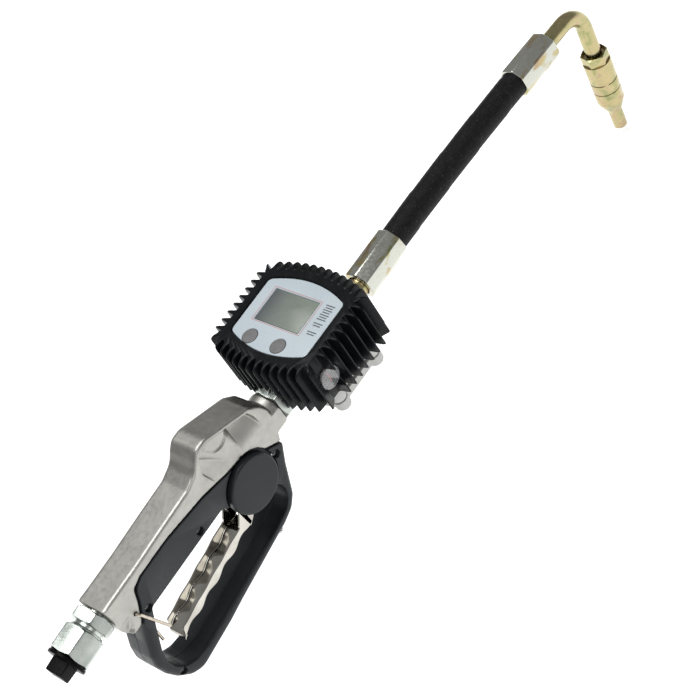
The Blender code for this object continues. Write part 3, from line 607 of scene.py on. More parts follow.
def polygon(sides, flats, turn):
    """A regular outline by its width across flats, and how far its corners are from the centre."""
    corner = flats / 2 / math.cos(math.pi / sides)
    angles = [turn + math.tau * k / sides for k in range(sides)]
    return [(corner * math.cos(angle), corner * math.sin(angle)) for angle in angles], corner


def hex_bar(name, flats, start, end, look, at, direction, turn, edge=0.35):
    """A hexagon bar whose ends are turned to a 30-degree cone."""
    outline, corner = polygon(6, flats, turn)
    outline = filleted(outline, edge * 3, steps=3)
    data = bmesh.new()
    rings = [[(x, y, start) for x, y in outline], [(x, y, end) for x, y in outline]]
    ring_stack(data, rings)
    bar = finish_mesh(name, data, look, at, along(direction))
    low_r = flats / 2 - 0.3
    high_r = corner + 1.0
    rise = (high_r - low_r) * math.tan(math.radians(30))
    profile = [
        (start, 0), (end, 0), (end, low_r), (end - rise, high_r), (start + rise, high_r), (start, low_r),
    ]
    cone = turned(name + "_cone", profile, look, at, direction)
    return boolean(bar, cone, "INTERSECT")


# ---------------------------------------------------------------- casting

INTERFACE = [
    (200.6, -27.4), (187.6, -19.2), (184.0, -12.8), (179.0, -8.2), (172.0, -5.1), (160.4, -4.0),
    (132.7, 2.4), (95.2, 6.2), (66.4, 5.4), (58.8, 2.0), (55.2, -7.8), (51.2, -15.5), (49.6, -20.0),
    (46.4, -23.6),
]
CASTING_TOP = [
    (41.0, -24.4), (36.6, -22.4), (34.4, -16.5), (32.9, 12.2), (69.0, 13.2), (100.0, 15.2), (127.0, 16.6),
    (138.5, 20.7), (144.0, 27.5), (149.5, 32.6), (158.5, 32.8), (196.0, 17.8), (203.5, 10.5), (207.0, 2.5),
    (206.0, -14.0),
]


# Radii of the outline's corners that aren't 5 mm, by their place in INTERFACE + CASTING_TOP.
CASTING_CORNERS = {
    0: 0.8, 13: 3.0, 14: 6.0, 15: 6.0, 17: 0.6, 21: 16.0, 22: 10.0, 23: 9.0, 24: 12.0, 25: 6.0, 26: 5.0,
}


def casting():
    """The die-cast handle: one soft skin, cut back at the sides, then drilled."""
    outline = INTERFACE + CASTING_TOP
    body = pillow(
        "handle_casting", filleted(outline, 5.0, CASTING_CORNERS, 5),
        round_levels(-CASTING_HALF, CASTING_HALF, 2.3, 2.3, 4), "cast",
    )
    boss = turned("boss", rounded_profile(rod(198.8, 213.9, 14.5), 0.9), "cast", (0, 0, FLOW_Z))
    neck = turned("boss_neck", rounded_profile(rod(193.0, 200.0, 12.6), 0.9), "cast", (0, 0, FLOW_Z))
    softened(merged(body, boss, neck), 0.5, 0)
    for vert in body.data.vertices:
        x, y, z = vert.co / MM
        if abs(y) > 5:
            vert.co.y = math.copysign(min(abs(y), side_relief(x, z)), y) * MM
    softened(body, 0.45, 3)
    casting_openings(body)
    return stands_for(body, "handle", "cast_aluminium", "valve_casting")


def merged(target, *pieces):
    """Closed pieces put in one mesh, for a remesh to weld into one skin."""
    data = bmesh.new()
    data.from_mesh(target.data)
    for piece in pieces:
        data.from_mesh(piece.data)
        bpy.data.objects.remove(piece, do_unlink=True)
    data.to_mesh(target.data)
    data.free()
    return target


def smooth_step(value):
    value = max(0.0, min(1.0, value))
    return value * value * (3 - 2 * value)


def depth_inside(x, z, outline):
    """How far a point lies inside an outline; negative outside it."""
    point = Vector((x, z))
    nearest = 1e9
    inside = False
    for a, b in zip(outline, outline[1:] + outline[:1]):
        start, run = Vector(a), Vector(b) - Vector(a)
        t = max(0.0, min(1.0, (point - start).dot(run) / run.length_squared))
        nearest = min(nearest, (start + run * t - point).length)
        if (a[1] > z) != (b[1] > z) and x < a[0] + (z - a[1]) / (b[1] - a[1]) * (b[0] - a[0]):
            inside = not inside
    return nearest if inside else -nearest


def at_height(line, z):
    """X on a line of (x, z) points that falls steadily in z."""
    if z >= line[0][1]:
        return line[0][0]
    for (x0, z0), (x1, z1) in zip(line, line[1:]):
        if z >= z1:
            return x1 + (x0 - x1) * (z - z1) / (z0 - z1)
    return line[-1][0]


POCKET = [
    (147.6, 26.2), (152.0, 30.0), (158.6, 30.4), (176.0, 23.2), (193.2, 15.8), (195.6, 9.0), (197.6, -3.0),
    (176.0, -9.0), (160.0, -6.0), (146.0, 0.0), (142.5, 14.0),
]
SHIELD_LEFT = [(147.0, 30.0), (147.0, 24.6), (151.4, 18.5), (162.0, 4.0), (168.0, -5.0)]
SHIELD_RIGHT = [(175.0, 30.0), (175.5, 23.7), (177.3, 14.3), (175.6, 4.0), (173.0, -5.0)]
VALVE_DISC = (164.5, 26.5)
VALVE_DISC_R = 9.6
DISC_GROOVE_R = 11.0
POCKET_DEPTH = 4.4
POCKET_EXTRA = 3.6
LUG_FALL = 5.0
LUG_APEX = (46.6, -6.4)
LUG_FACET = [LUG_APEX, (32.0, -9.2), (28.0, -22.0), (37.2, -25.0), (41.0, -20.2)]


def side_relief(x, z):
    """Half the casting's thickness at a point of its side: pocket, shield, round cap and lug facet."""
    surface = CASTING_HALF
    lug = depth_inside(x, z, LUG_FACET)
    if lug > 0:
        fall = smooth_step(math.hypot(x - LUG_APEX[0], z - LUG_APEX[1]) / 20.0)
        surface -= LUG_FALL * fall * smooth_step(lug / 1.6)
    rim = depth_inside(x, z, POCKET) if 140 < x < 200 and z > -10 else -1.0
    if rim <= 0:
        return surface
    left, right = at_height(SHIELD_LEFT, z), at_height(SHIELD_RIGHT, z)
    off = (2 * x - left - right) / (right - left)
    deepest = POCKET_DEPTH + POCKET_EXTRA * smooth_step((off + 1) / 2)
    floor = CASTING_HALF - deepest * smooth_step((z + 5.0) / 24.0)
    pocket = floor
    if abs(off) < 1:
        pocket = floor + (12.5 - floor) * (1 - off * off) ** 0.6
    reach = math.hypot(x - VALVE_DISC[0], z - VALVE_DISC[1])
    if reach < VALVE_DISC_R:
        pocket = 12.0
    elif reach < DISC_GROOVE_R:
        pocket = min(pocket, 11.0)
    wall = smooth_step(rim / 1.2)
    return surface * (1 - wall) + pocket * wall


def casting_openings(body):
    """The drilled holes, and the bores and slot that hold the parts inside."""
    boolean(body, turned("latch_hole", rod(-20, 20, 1.7), "cast", (48.0, 0, -11.7), Y_AXIS, 32))
    boolean(body, turned("port", rod(197, 230, 10.3), "cast", (0, 0, FLOW_Z), X_AXIS, 64))
    boolean(body, turned("bore", rod(30, 49, 8.9), "cast", (0, 0, 0), INLET_AXIS, 64))
    slot = [(149.0, -39.0), (182.0, -39.0), (182.0, -15.5), (149.0, -15.5)]
    boolean(body, pillow("slot", slot, [(-2.8, 0), (2.8, 0)], "cast"))
    chamber = [(-18, 0), (24, 0), (24, 7.6), (0, 7.6), (0, 2.7), (-18, 2.7)]
    boolean(body, turned("chamber", chamber, "cast", (STEM_X, 0, 0), Z_AXIS, 32))


casting()


# ---------------------------------------------------------------- inlet


def inlet():
    at = (0, 0, 0)
    nut = hex_bar("swivel_nut", 27.0, 0.0, 19.5, "zinc", at, INLET_AXIS, math.radians(8))
    bore = [(-1, 0), (16, 0), (16, 9.6), (-1, 9.6)]
    boolean(nut, turned("nut_bore", bore, "zinc", at, INLET_AXIS))
    stands_for(nut, "swivel_nut", "zinc_plate", "inlet_nut")
    collar = rounded_profile([(19.6, 7.4), (21.4, 7.4), (21.4, 11.2), (19.6, 12.4)], 0.4)
    collar = turned("swivel_collar", collar, "zinc", at, INLET_AXIS)
    stands_for(collar, "handle", "zinc_plate")
    adapter = hex_bar("inlet_hexagon", 27.0, 23.4, 32.2, "zinc", at, INLET_AXIS, math.radians(8))
    stands_for(adapter, "handle", "zinc_plate", "inlet_adapter")
    neck = [
        (9.0, 0), (44.0, 0), (44.0, 8.5), (32.0, 8.5), (32.0, 10.4), (19.0, 10.4), (19.0, 7.3), (9.0, 7.3),
    ]
    neck = rounded_profile(neck, 0.3)
    stands_for(turned("inlet_neck", neck, "zinc", at, INLET_AXIS), "handle", "zinc_plate")


def shipping_plug():
    flange = [(-2.9, 0), (8.0, 0), (8.0, 8.6), (-0.4, 8.6), (-0.4, 14.0), (-2.9, 14.0)]
    flange = rounded_profile(flange, 0.5)
    plug = turned("shipping_plug", flange, "plug", (0, 0, 0), INLET_AXIS, 64)
    stands_for(plug, "shipping_plug", "plug_plastic", "inlet_plug")
    half = 6.7
    outline = filleted([(-half, -half), (half, -half), (half, half), (-half, half)], 1.0)
    data = bmesh.new()
    rings = []
    for distance, shrink in ((-2.5, 0.0), (-12.4, 0.35), (-12.9, 0.9)):
        rings.append([(x, y, distance) for x, y in inset(outline, [shrink] * len(outline))])
    ring_stack(data, rings)
    turn = along(INLET_AXIS) @ Matrix.Rotation(math.radians(12), 3, "Z")
    tail = finish_mesh("plug_tail", data, "plug", (0, 0, 0), turn)
    stands_for(tail, "shipping_plug", "plug_plastic")


inlet()
shipping_plug()


# ---------------------------------------------------------------- guard

GUARD_OUTER = [
    (43.4, -32.0), (39.4, -42.0), (35.4, -52.0), (33.6, -62.0), (35.4, -73.0), (39.7, -84.0),
    (47.6, -94.5), (56.9, -99.5), (73.4, -97.2), (92.4, -94.6), (109.1, -91.0), (166.9, -81.0),
    (177.9, -77.0), (185.4, -69.0), (194.8, -44.5), (200.4, -33.0),
]
WINDOW = [
    (59.0, -21.2), (137.5, -19.8), (146.0, -31.0), (151.0, -43.5), (160.0, -47.0), (172.0, -46.5),
    (178.5, -49.0), (181.8, -56.0), (179.5, -64.5), (172.5, -71.5), (159.5, -74.8), (104.4, -83.5),
    (70.0, -88.0), (56.5, -86.3), (48.5, -81.8), (43.5, -73.8), (42.2, -64.5), (44.0, -54.3), (52.0, -36.0),
]
RIB_SPACE = [
    (65.6, 15.0), (197.0, 15.0), (188.6, -20.2), (176.4, -34.4), (170.7, -38.0), (160.2, -38.0),
    (154.5, -33.4), (150.6, -17.9), (65.6, -17.9),
]
EAR_SPACE = [
    (136.0, -46.0), (139.0, -29.0), (150.0, -16.5), (165.0, -15.0), (177.0, -22.0), (178.0, -34.0),
    (170.0, -46.0), (162.0, -60.0),
]
GUARD_SCREWS = {
    "grip": (116.5, -14.8), "rear": (56.7, -18.5), "tail": (44.6, -83.0), "leg": (161.0, -82.0),
    "front": (191.9, -30.2),
}


def offset_path(points, distance):
    moved = []
    for i, point in enumerate(points):
        before = Vector(points[max(i - 1, 0)])
        after = Vector(points[min(i + 1, len(points) - 1)])
        run = (after - before).normalized()
        moved.append((point[0] - run.y * distance, point[1] + run.x * distance))
    return moved


def guard_loops():
    """The guard's outer and inner outlines, and how much of the edge rounding each point takes."""
    joint = list(reversed(offset_path(INTERFACE, 0.4)))
    outline = joint + list(reversed(GUARD_OUTER))
    outer = counter_clockwise(filleted(outline, 14.0, {0: 1.0, 13: 3.0}, 5))
    seam = dense(joint, 1.0)
    weights = []
    for x, z in outer:
        nearest = min((Vector((x, z)) - point).length for point in seam)
        weights.append(0.12 + 0.88 * min(1.0, max(0.0, (nearest - 0.5) / 6.0)))
    inner = counter_clockwise(filleted(WINDOW, 12.0, {0: 3.0, 1: 5.0}, 5))
    return outer, weights, inner


def dense(points, step):
    found = []
    for a, b in zip(points, points[1:]):
        a, b = Vector(a), Vector(b)
        count = max(1, int((b - a).length / step))
        found += [a.lerp(b, k / count) for k in range(count)]
    found.append(Vector(points[-1]))
    return found


def guard_half(side, name, node):
    """One plastic half: its outer edge is well rounded, and its window's edge slightly."""
    outer, weights, inner = guard_loops()
    levels = [(side * 0.12, 0.18, 0.18), (side * 0.3, 0.0, 0.0)]
    for k in range(7):
        turn = math.pi / 2 * k / 6
        y = GUARD_HALF - GUARD_EDGE_R * (1 - math.sin(turn))
        levels.append((side * y, GUARD_EDGE_R * (1 - math.cos(turn)), 1 - math.cos(turn)))
    data = bmesh.new()
    outer_rings = []
    inner_rings = []
    for y, depth, hole in levels:
        edge = inset(outer, [depth * weight for weight in weights])
        outer_rings.append([data.verts.new((x, y, z)) for x, z in edge])
        edge = inset(inner, [-hole] * len(inner))
        inner_rings.append([data.verts.new((x, y, z)) for x, z in edge])
    for rings in (outer_rings, inner_rings):
        for low, high in zip(rings, rings[1:]):
            for i in range(len(low)):
                j = (i + 1) % len(low)
                data.faces.new((low[i], low[j], high[j], high[i]))
    for ring, hole in ((outer_rings[0], inner_rings[0]), (outer_rings[-1], inner_rings[-1])):
        edges = []
        for loop in (ring, hole):
            for i in range(len(loop)):
                edges.append(data.edges.get((loop[i], loop[(i + 1) % len(loop)])))
        bmesh.ops.triangle_fill(data, edges=edges, use_beauty=True)
    shell = finish_mesh(name, data, "plastic", sharp=38)
    guard_cuts(shell, side)
    return stands_for(shell, "handle", "black_plastic", node)


def guard_cuts(shell, side):
    boolean(shell, pillow("rib_space", RIB_SPACE, [(-5.1, 0), (5.1, 0)], "plastic"))
    boolean(shell, pillow("ear_space", EAR_SPACE, [(-9.4, 0), (9.4, 0)], "plastic"))
    low, high = sorted((side * 9.9, side * 20))
    recess = turned("recess", rod(low, high, 24.2), "plastic", (PIVOT[0], 0, PIVOT[1]), Y_AXIS, 96)
    boolean(shell, recess)
    for name, (x, z) in GUARD_SCREWS.items():
        outside = GUARD_HALF + 1
        profile = [
            (-outside, 0), (9.8, 0), (9.8, 1.9), (-8.2, 1.9), (-8.2, 3.0), (-12.9, 3.0), (-13.6, 3.7),
            (-outside, 3.7),
        ]
        boolean(shell, turned("hole_" + name, profile, "plastic", (x, 0, z), Y_AXIS, 32))


def pivot_caps():
    for side, name in ((-1, "left"), (1, "right")):
        profile = rounded_profile([(11.9, 0), (17.0, 0), (17.0, 21.8), (11.9, 21.8)], 0.3, {2: 2.2}, 6)
        cap = turned("cap_" + name, profile, "plastic", (PIVOT[0], 0, PIVOT[1]), Y_AXIS * side, 128)
        stands_for(cap, "handle", "black_plastic", "pivot_cap_" + name)


guard_half(-1, "guard_left", "guard_shell_left")
guard_half(1, "guard_right", "guard_shell_right")
pivot_caps()


def guard_fasteners():
    """Cross-slotted screws, with their heads sunk in the left half."""
    for name, (x, z) in GUARD_SCREWS.items():
        profile = [(-10.6, 0), (9.4, 0), (9.4, 1.5), (-8.5, 1.5), (-8.5, 2.8), (-10.6, 2.8)]
        profile = rounded_profile(profile, 0.3)
        screw = turned("screw_" + name, profile, "wire", (x, 0, z), Y_AXIS, 32)
        for turn in (0.0, math.pi / 2):
            data = bmesh.new()
            bmesh.ops.create_cube(data, size=1)
            bmesh.ops.scale(data, vec=(3.4, 2.4, 0.8), verts=data.verts)
            bmesh.ops.rotate(data, cent=(0, 0, 0), matrix=Matrix.Rotation(turn, 3, "Y"), verts=data.verts)
            boolean(screw, finish_mesh("slot", data, "wire", (x, -11.0, z)))
        stands_for(screw, "handle", "zinc_plate", "guard_screw_" + name)


guard_fasteners()


# ---------------------------------------------------------------- trigger and latch


TRIGGER_TAIL_X = 63.6
TRIGGER_FRONT_X = 150.0
WALL_RISE_X = 139.7
FINGER_PITCH = 21.7
FINGER_CREST_X = 105.0


def finger_wave(x):
    return math.cos(math.tau * (x - FINGER_CREST_X) / FINGER_PITCH)


def web_height(x):
    """The underside of the trigger's web, waved for the fingers."""
    return -56.8 - 0.155 * (146.0 - x) - 1.3 * finger_wave(x)


def rim_height(x):
    """The top edge of the trigger's side walls."""
    if x > WALL_RISE_X:
        return -49.7 + (x - WALL_RISE_X) * 1.35
    return -49.9 - 0.172 * (WALL_RISE_X - x) + 0.35 * finger_wave(x)


def trigger_channel():
    """A bent channel: side wall, bend, waved web, bend, side wall, swept along the lever."""
    half, bend, sheet = 8.5, 2.0, 1.3
    data = bmesh.new()
    rows = []
    count = 150
    for i in range(count + 1):
        x = TRIGGER_TAIL_X + (TRIGGER_FRONT_X - TRIGGER_TAIL_X) * i / count
        low, high = web_height(x), rim_height(x)
        taper = min(1.0, (x - TRIGGER_TAIL_X) / 3.0)
        high = low + 2.5 + (high - low - 2.5) * math.sin(math.pi / 2 * taper)
        outside = section(half, bend, low, high)
        inside = section(half - sheet, bend - sheet + 0.4, low + sheet, high)
        rows.append([(x, y, z) for y, z in outside + list(reversed(inside))])
    ring_stack(data, rows)
    lever = finish_mesh("trigger_channel", data, "nickel", sharp=50)
    return stands_for(lever, "trigger", "polished_steel", "trigger")


def section(half, bend, low, high):
    """Half-width, bend radius, web height and wall height make a U of (y, z) points."""
    points = [(-half, high), (-half, (high + low + bend) / 2)]
    for k in range(6):
        turn = math.pi / 2 * k / 5
        points.append((-half + bend * (1 - math.cos(turn)), low + bend * (1 - math.sin(turn))))
    points.append((0.0, low))
    for k in range(6):
        turn = math.pi / 2 * (1 - k / 5)
        points.append((half - bend * (1 - math.cos(turn)), low + bend * (1 - math.sin(turn))))
    points += [(half, (high + low + bend) / 2), (half, high)]
    return points


def trigger_tail():
    """The lip at the tail, curled down from the web."""
    data = bmesh.new()
    rows = []
    base = web_height(TRIGGER_TAIL_X + 0.2)
    lip = [
        (-1, 0.3), (-0.5, 0.0), (0, 0.0), (0.5, 0.0), (1, 0.3), (1, 1.5), (0.5, 1.3), (0, 1.3), (-0.5, 1.3),
        (-1, 1.5),
    ]
    for k in range(9):
        t = k / 8
        x = 64.4 - 2.6 * t
        drop = -2.6 * t**2
        rows.append([(x, y * (8.3 - 0.7 * t), base + drop + lift) for y, lift in lip])
    ring_stack(data, rows)
    lip = finish_mesh("trigger_lip", data, "nickel", sharp=50)
    return stands_for(lip, "trigger", "polished_steel")


def trigger_ears():
    """The two plates that carry the trigger on its pivot pin."""
    for side, name in ((-1, "left"), (1, "right")):
        outline = [(147.5, -57.5), (153.3, -53.5), (158.5, -46.0), (163.0, -37.6)]
        for angle in range(-80, 181, 20):
            turn = math.radians(angle)
            outline.append((PIVOT[0] + 10 * math.cos(turn), PIVOT[1] + 10 * math.sin(turn)))
        outline += [(151.0, -33.5), (146.2, -41.0)]
        low, high = sorted((side * 7.2, side * 8.5))
        ear = pillow("trigger_ear_" + name, outline, round_levels(low, high, 0.25, 0.25, 2), "nickel")
        stands_for(ear, "trigger", "polished_steel")


def latch():
    """The wire bail through the lug's hole: one straight leg, one bent in behind the trigger's tail."""
    side = CASTING_HALF + 2.6
    route = [
        (58.5, -side, -42.5), (53.6, -side, -27.0), (49.8, -side, -15.0), (48.4, -side + 0.6, -12.4),
        (48.0, -side + 2.6, -11.7), (48.0, 0, -11.7), (48.0, side - 2.6, -11.7), (48.4, side - 0.6, -12.4),
        (49.8, side, -15.0), (54.2, side, -36.0), (54.0, side - 1.2, -41.5), (53.2, 10.0, -46.2),
        (53.0, 5.0, -49.6), (53.2, 1.5, -52.6), (52.9, 0.3, -56.5), (52.6, 0.0, -62.3),
    ]
    wire = tube("latch_bail", smooth_path(route, 5), 1.1, "bail", 20)
    stands_for(wire, "latch", "zinc_plate", "latch_wire")


trigger_channel()
trigger_tail()
trigger_ears()
latch()


# ---------------------------------------------------------------- meter


def barrel(half_x, half_y, bulge, corner, steps=20):
    """A rectangle in (x, y) whose X ends bulge by an arc, with rounded corners."""
    points = []
    for side in (1, -1):
        for i in range(-steps, steps + 1):
            y = side * i / steps * half_y
            points.append((side * (half_x - bulge * (y / half_y) ** 2), y))
    corners = {0: corner, 2 * steps: corner, 2 * steps + 1: corner, 4 * steps + 1: corner}
    return rounded_corners(points, corners)


def rounded_corners(points, corners):
    """Cut each named corner back by its radius along both sides and bridge it with an arc."""
    count = len(points)
    found = []
    for i, point in enumerate(points):
        near = min(corners, key=lambda c: (Vector(points[c]) - Vector(point)).length)
        distance = (Vector(points[near]) - Vector(point)).length
        if i not in corners:
            if distance > corners[near]:
                found.append(point)
            continue
        corner = Vector(point)
        back = (Vector(points[i - 1]) - corner).normalized() * corners[i]
        ahead = (Vector(points[(i + 1) % count]) - corner).normalized() * corners[i]
        for k in range(9):
            t = k / 8
            bent = (corner + back) * (1 - t) ** 2 + corner * 2 * t * (1 - t) + (corner + ahead) * t**2
            found.append(tuple(bent))
    return found


FINS_PER_END = 12
FINS_PER_SIDE = 8
FIN_STEPS = 16
COVER_HALF_X = 36.6
COVER_HALF_Y = 41.6
COVER_BULGE = 8.0
FIN_REACH = 8.9
SIGHT_AT = (243.0, 0, 4.0)
BUTTON_X = 240.9
BUTTONS = {"mode": 17.1, "reset": -9.3}
LUGS = ((-19.4, -35.0), (19.4, -35.0), (19.4, 35.0), (-19.4, 35.0))


def fin_shape(u):
    """Reach of a fin across its pitch: 1 on the crest (u = 0), 0 on the round valley floor (u = 1)."""
    if u < 0.2:
        return 1.0 - 0.03 * (u / 0.2) ** 2
    if u < 0.5:
        return 0.97 - 0.67 * (u - 0.2) / 0.3
    half = (1 - u) / 0.5
    return 0.30 * (1 - math.sqrt(max(0.0, 1 - half * half)))


def corner_fin(x, y, reach):
    """One blade that points out of a corner, entered from its clockwise side."""
    out = Vector((math.copysign(1, x), math.copysign(1, y))) / math.sqrt(2)
    across = Vector((-out.y, out.x))
    corner = Vector((x, y)) - out * 0.6
    blade = [(-2.0, 0.0), (-1.1, 0.5), (-0.6, 0.93), (0.0, 1.0), (0.6, 0.93), (1.1, 0.5), (2.0, 0.0)]
    return [tuple(corner + across * side + out * reach * 0.92 * share) for side, share in blade]


def cover_outline(share, shrink):
    """One level of the cover, counter-clockwise, with its fins at a share of their full reach."""
    half_x, half_y = COVER_HALF_X - shrink, COVER_HALF_Y - shrink
    reach = FIN_REACH * share
    points = []
    for side in (1, -1):
        for step in range(FINS_PER_END * FIN_STEPS + 1):
            t = step / FIN_STEPS
            y = side * (-half_y + 1.0 + t * (2 * half_y - 2.0) / FINS_PER_END)
            base = half_x - COVER_BULGE * (y / half_y) ** 2
            out = reach * fin_shape(abs(2 * (t % 1.0) - 1))
            lean = 0.3 * 2 * COVER_BULGE * y / half_y**2
            points.append((side * (base + out), y + out * lean))
        edge = half_x - COVER_BULGE
        points += corner_fin(side * edge, side * half_y, reach)
        for step in range(FINS_PER_SIDE * FIN_STEPS + 1):
            t = step / FIN_STEPS
            x = side * (edge - 1.0 - t * (2 * edge - 2.0) / FINS_PER_SIDE)
            sight = side == -1 and t < 1
            out = 0.0 if sight else reach * fin_shape(abs(2 * (t % 1.0) - 1))
            points.append((x, side * (half_y + out)))
        points += corner_fin(-side * edge, side * half_y, reach)
    return points


def rubber_cover():
    levels = [(-13.0, 0.95, 0.3), (-12.5, 1.0, 0.0)]
    levels += [(z, 1.0, 0.0) for z in (-4.0, 4.0, 12.0, 20.0)]
    levels += [(22.6, 1.0, 0.0), (24.2, 0.97, 0.0), (25.3, 0.91, 0.0), (26.2, 0.79, 0.0), (26.8, 0.62, 0.1)]
    levels += [(27.15, 0.44, 0.25), (27.3, 0.28, 0.6)]
    data = bmesh.new()
    ring_stack(data, [[(x, y, z) for x, y in cover_outline(share, shrink)] for z, share, shrink in levels])
    cover = finish_mesh("finned_cover", data, "cover", (METER_X, 0, 0), sharp=30)
    inside = barrel(34.6, 39.6, 7.0, 4.0)
    boolean(cover, pillow("inside", inside, [(-14, 0), (24.3, 0)], "cover", "Z", at=(METER_X, 0, 0)))
    lip = barrel(30.6, 35.4, 7.6, 3.2)
    levels = [(20.0, 0.0), (26.7, 0.0), (27.4, -0.7)]
    boolean(cover, pillow("opening", lip, levels, "cover", "Z", at=(METER_X, 0, 0)))
    boolean(cover, turned("ports", rod(200, 330, 16.2), "cover", (0, 0, FLOW_Z), X_AXIS, 96))
    sight = [(30, 0), (52, 0), (52, 8.8), (44.1, 8.8), (30, 8.8)]
    boolean(cover, turned("sight", sight, "cover", SIGHT_AT, -Y_AXIS, 64))
    return stands_for(cover, "handle", "black_rubber", "rubber_cover")


def meter_face():
    """The label plate with its window and button holes, and what shows through them."""
    outline = barrel(30.1, 34.9, 7.6, 3.0)
    levels = round_levels(24.4, 26.5, 0, 0.35, 3)
    plate = pillow("face_plate", outline, levels, "label", "Z", at=(METER_X, 0, 0))
    window = filleted([(254.1, -17.0), (280.9, -17.0), (280.9, 24.3), (254.1, 24.3)], 0.5)
    boolean(plate, pillow("window", window, [(20, 0), (26.0, 0), (27, -0.6)], "label", "Z"))
    for y in BUTTONS.values():
        boolean(plate, turned("button_hole", rod(20, 30, 6.2), "label", (BUTTON_X, y, 0), Z_AXIS, 64))
    stands_for(plate, "handle", "label", "label_plate")
    glass = filleted([(254.4, -16.7), (280.6, -16.7), (280.6, 24.0), (254.4, 24.0)], 0.4)
    display = pillow("display_window", glass, round_levels(17.6, 26.15, 0, 0.2, 2), "lcd", "Z")
    stands_for(display, "handle", "display", "display_glass")
    frame_line()
    for name, y in BUTTONS.items():
        profile = rounded_profile([(17.0, 0), (27.0, 0), (27.0, 5.9), (17.0, 5.9)], 0.1, {1: 0, 2: 0.7}, 4)
        button = turned("face_button_" + name, profile, "button", (BUTTON_X, y, 0), Z_AXIS, 64)
        stands_for(button, name + "_button", "button_grey", "button_" + name)


def frame_line():
    """The thin red line printed round the display."""
    outer = filleted([(252.9, -18.8), (282.2, -18.8), (282.2, 25.9), (252.9, 25.9)], 0.8, steps=4)
    inner = inset(outer, [0.35] * len(outer))
    data = bmesh.new()
    rings = []
    for shape, z in ((outer, 26.44), (outer, 26.56), (inner, 26.56), (inner, 26.44)):
        rings.append([data.verts.new((x, y, z)) for x, y in shape])
    for low, high in zip(rings, rings[1:] + rings[:1]):
        for i in range(len(outer)):
            j = (i + 1) % len(outer)
            data.faces.new((low[i], low[j], high[j], high[i]))
    stands_for(finish_mesh("display_border", data, "red_ink"), "handle", "label")


def print_marks():
    """Rows of plain dashes where a printed panel would be, with nothing to read."""
    data = bmesh.new()
    columns = [(281.0, 4), (273.2, 3), (265.9, 2), (258.6, 2)]
    for x, rows in columns:
        for row in range(rows):
            dash(data, x - row * 1.9, -26.6, 0.8, 8.0 - 1.6 * (row % 2))
    stands_for(finish_mesh("panel_dashes", data, "grey_ink"), "handle", "label")


def dash(data, x, y, width, length):
    made = bmesh.ops.create_cube(data, size=1)["verts"]
    bmesh.ops.scale(data, vec=(width, length, 0.1), verts=made)
    bmesh.ops.translate(data, vec=(x, y, 26.52), verts=made)


def sight_glass():
    """The round sight window in the cover's side: dial, red hand and lens."""
    at = SIGHT_AT
    plate = turned("sight_back", rod(40.2, 41.2, 8.5), "dial", at, -Y_AXIS, 64)
    stands_for(plate, "handle", "button_grey", "sight_plate")
    data = bmesh.new()
    pointer = [(-0.6, -3.5), (0.6, -3.5), (0.25, 6.0), (-0.25, 6.0)]
    ring_stack(data, [[(x, y, z) for x, z in pointer] for y in (-41.5, -41.25)])
    hand = finish_mesh("sight_pointer", data, "red", at)
    stands_for(hand, "handle", "button_grey")
    lens = rounded_profile(rod(41.6, 43.6, 8.5), 0.6, {}, 4)
    stands_for(turned("sight_lens", lens, "lens", at, -Y_AXIS, 64), "handle", "clear_plastic", "sight_window")


def meter_casting():
    """The meter's die-cast body, with its two ports, the screw lugs and the rotor pockets."""
    finish = "paint"
    outline = barrel(30.0, 35.0, 5.0, 4.0)
    levels = round_levels(-23.2, 4.0, 0.6, 0.6, 3)
    body = pillow("meter_casting", outline, levels, finish, "Z", at=(METER_X, 0, 0))
    for near, far in ((-35.6, -20.0), (20.0, 35.6)):
        boss = rounded_profile(rod(METER_X + near, METER_X + far, 15.0), 0.8)
        boolean(body, turned("boss", boss, finish, (0, 0, FLOW_Z)), "UNION")
    for x, y in LUGS:
        lug = rounded_profile(rod(-23.0, -13.6, 5.6), 0.6)
        boolean(body, turned("lug", lug, finish, (METER_X + x, y, 0), Z_AXIS, 48), "UNION")
    for y in (-8.0, 8.0):
        boolean(body, turned("pocket", rod(-40, -3.7, 10.0), finish, (METER_X, y, 0), Z_AXIS, 48))
    for low, high in ((-42.0, -22.0), (22.0, 42.0)):
        bore = rod(METER_X + low, METER_X + high, 10.2)
        boolean(body, turned("bore", bore, finish, (0, 0, FLOW_Z), X_AXIS, 48))
    stands_for(body, "handle", "meter_body", "meter_body")


def meter_bottom():
    """The cover that closes the meter from below, with its round screw lugs."""
    finish = "paint"
    outline = barrel(28.0, 37.0, 4.0, 5.0)
    levels = round_levels(-31.0, -23.5, 2.0, 0.3, 5)
    base = pillow("meter_bottom", outline, levels, finish, "Z", at=(METER_X, 0, 0))
    for x, y in LUGS:
        lug = rounded_profile([(-33.0, 0), (-23.9, 0), (-23.9, 5.8), (-33.0, 5.8)], 0.3, {3: 3.5}, 6)
        boolean(base, turned("lug", lug, finish, (METER_X + x, y, 0), Z_AXIS, 48), "UNION")
    softened(base, 0.45, 3)
    for x, y in LUGS:
        clear = [(-40, 0), (-20, 0), (-20, 1.9), (-29.5, 1.9), (-29.5, 3.6), (-40, 3.6)]
        boolean(base, turned("hole", clear, finish, (METER_X + x, y, 0), Z_AXIS, 32))
    for y in (-8.0, 8.0):
        boolean(base, turned("axle", rod(-26.5, -20, 1.9), finish, (METER_X, y, 0), Z_AXIS, 24))
    stands_for(base, "handle", "meter_body", "meter_base")


rubber_cover()
meter_face()
print_marks()
sight_glass()
meter_casting()
meter_bottom()


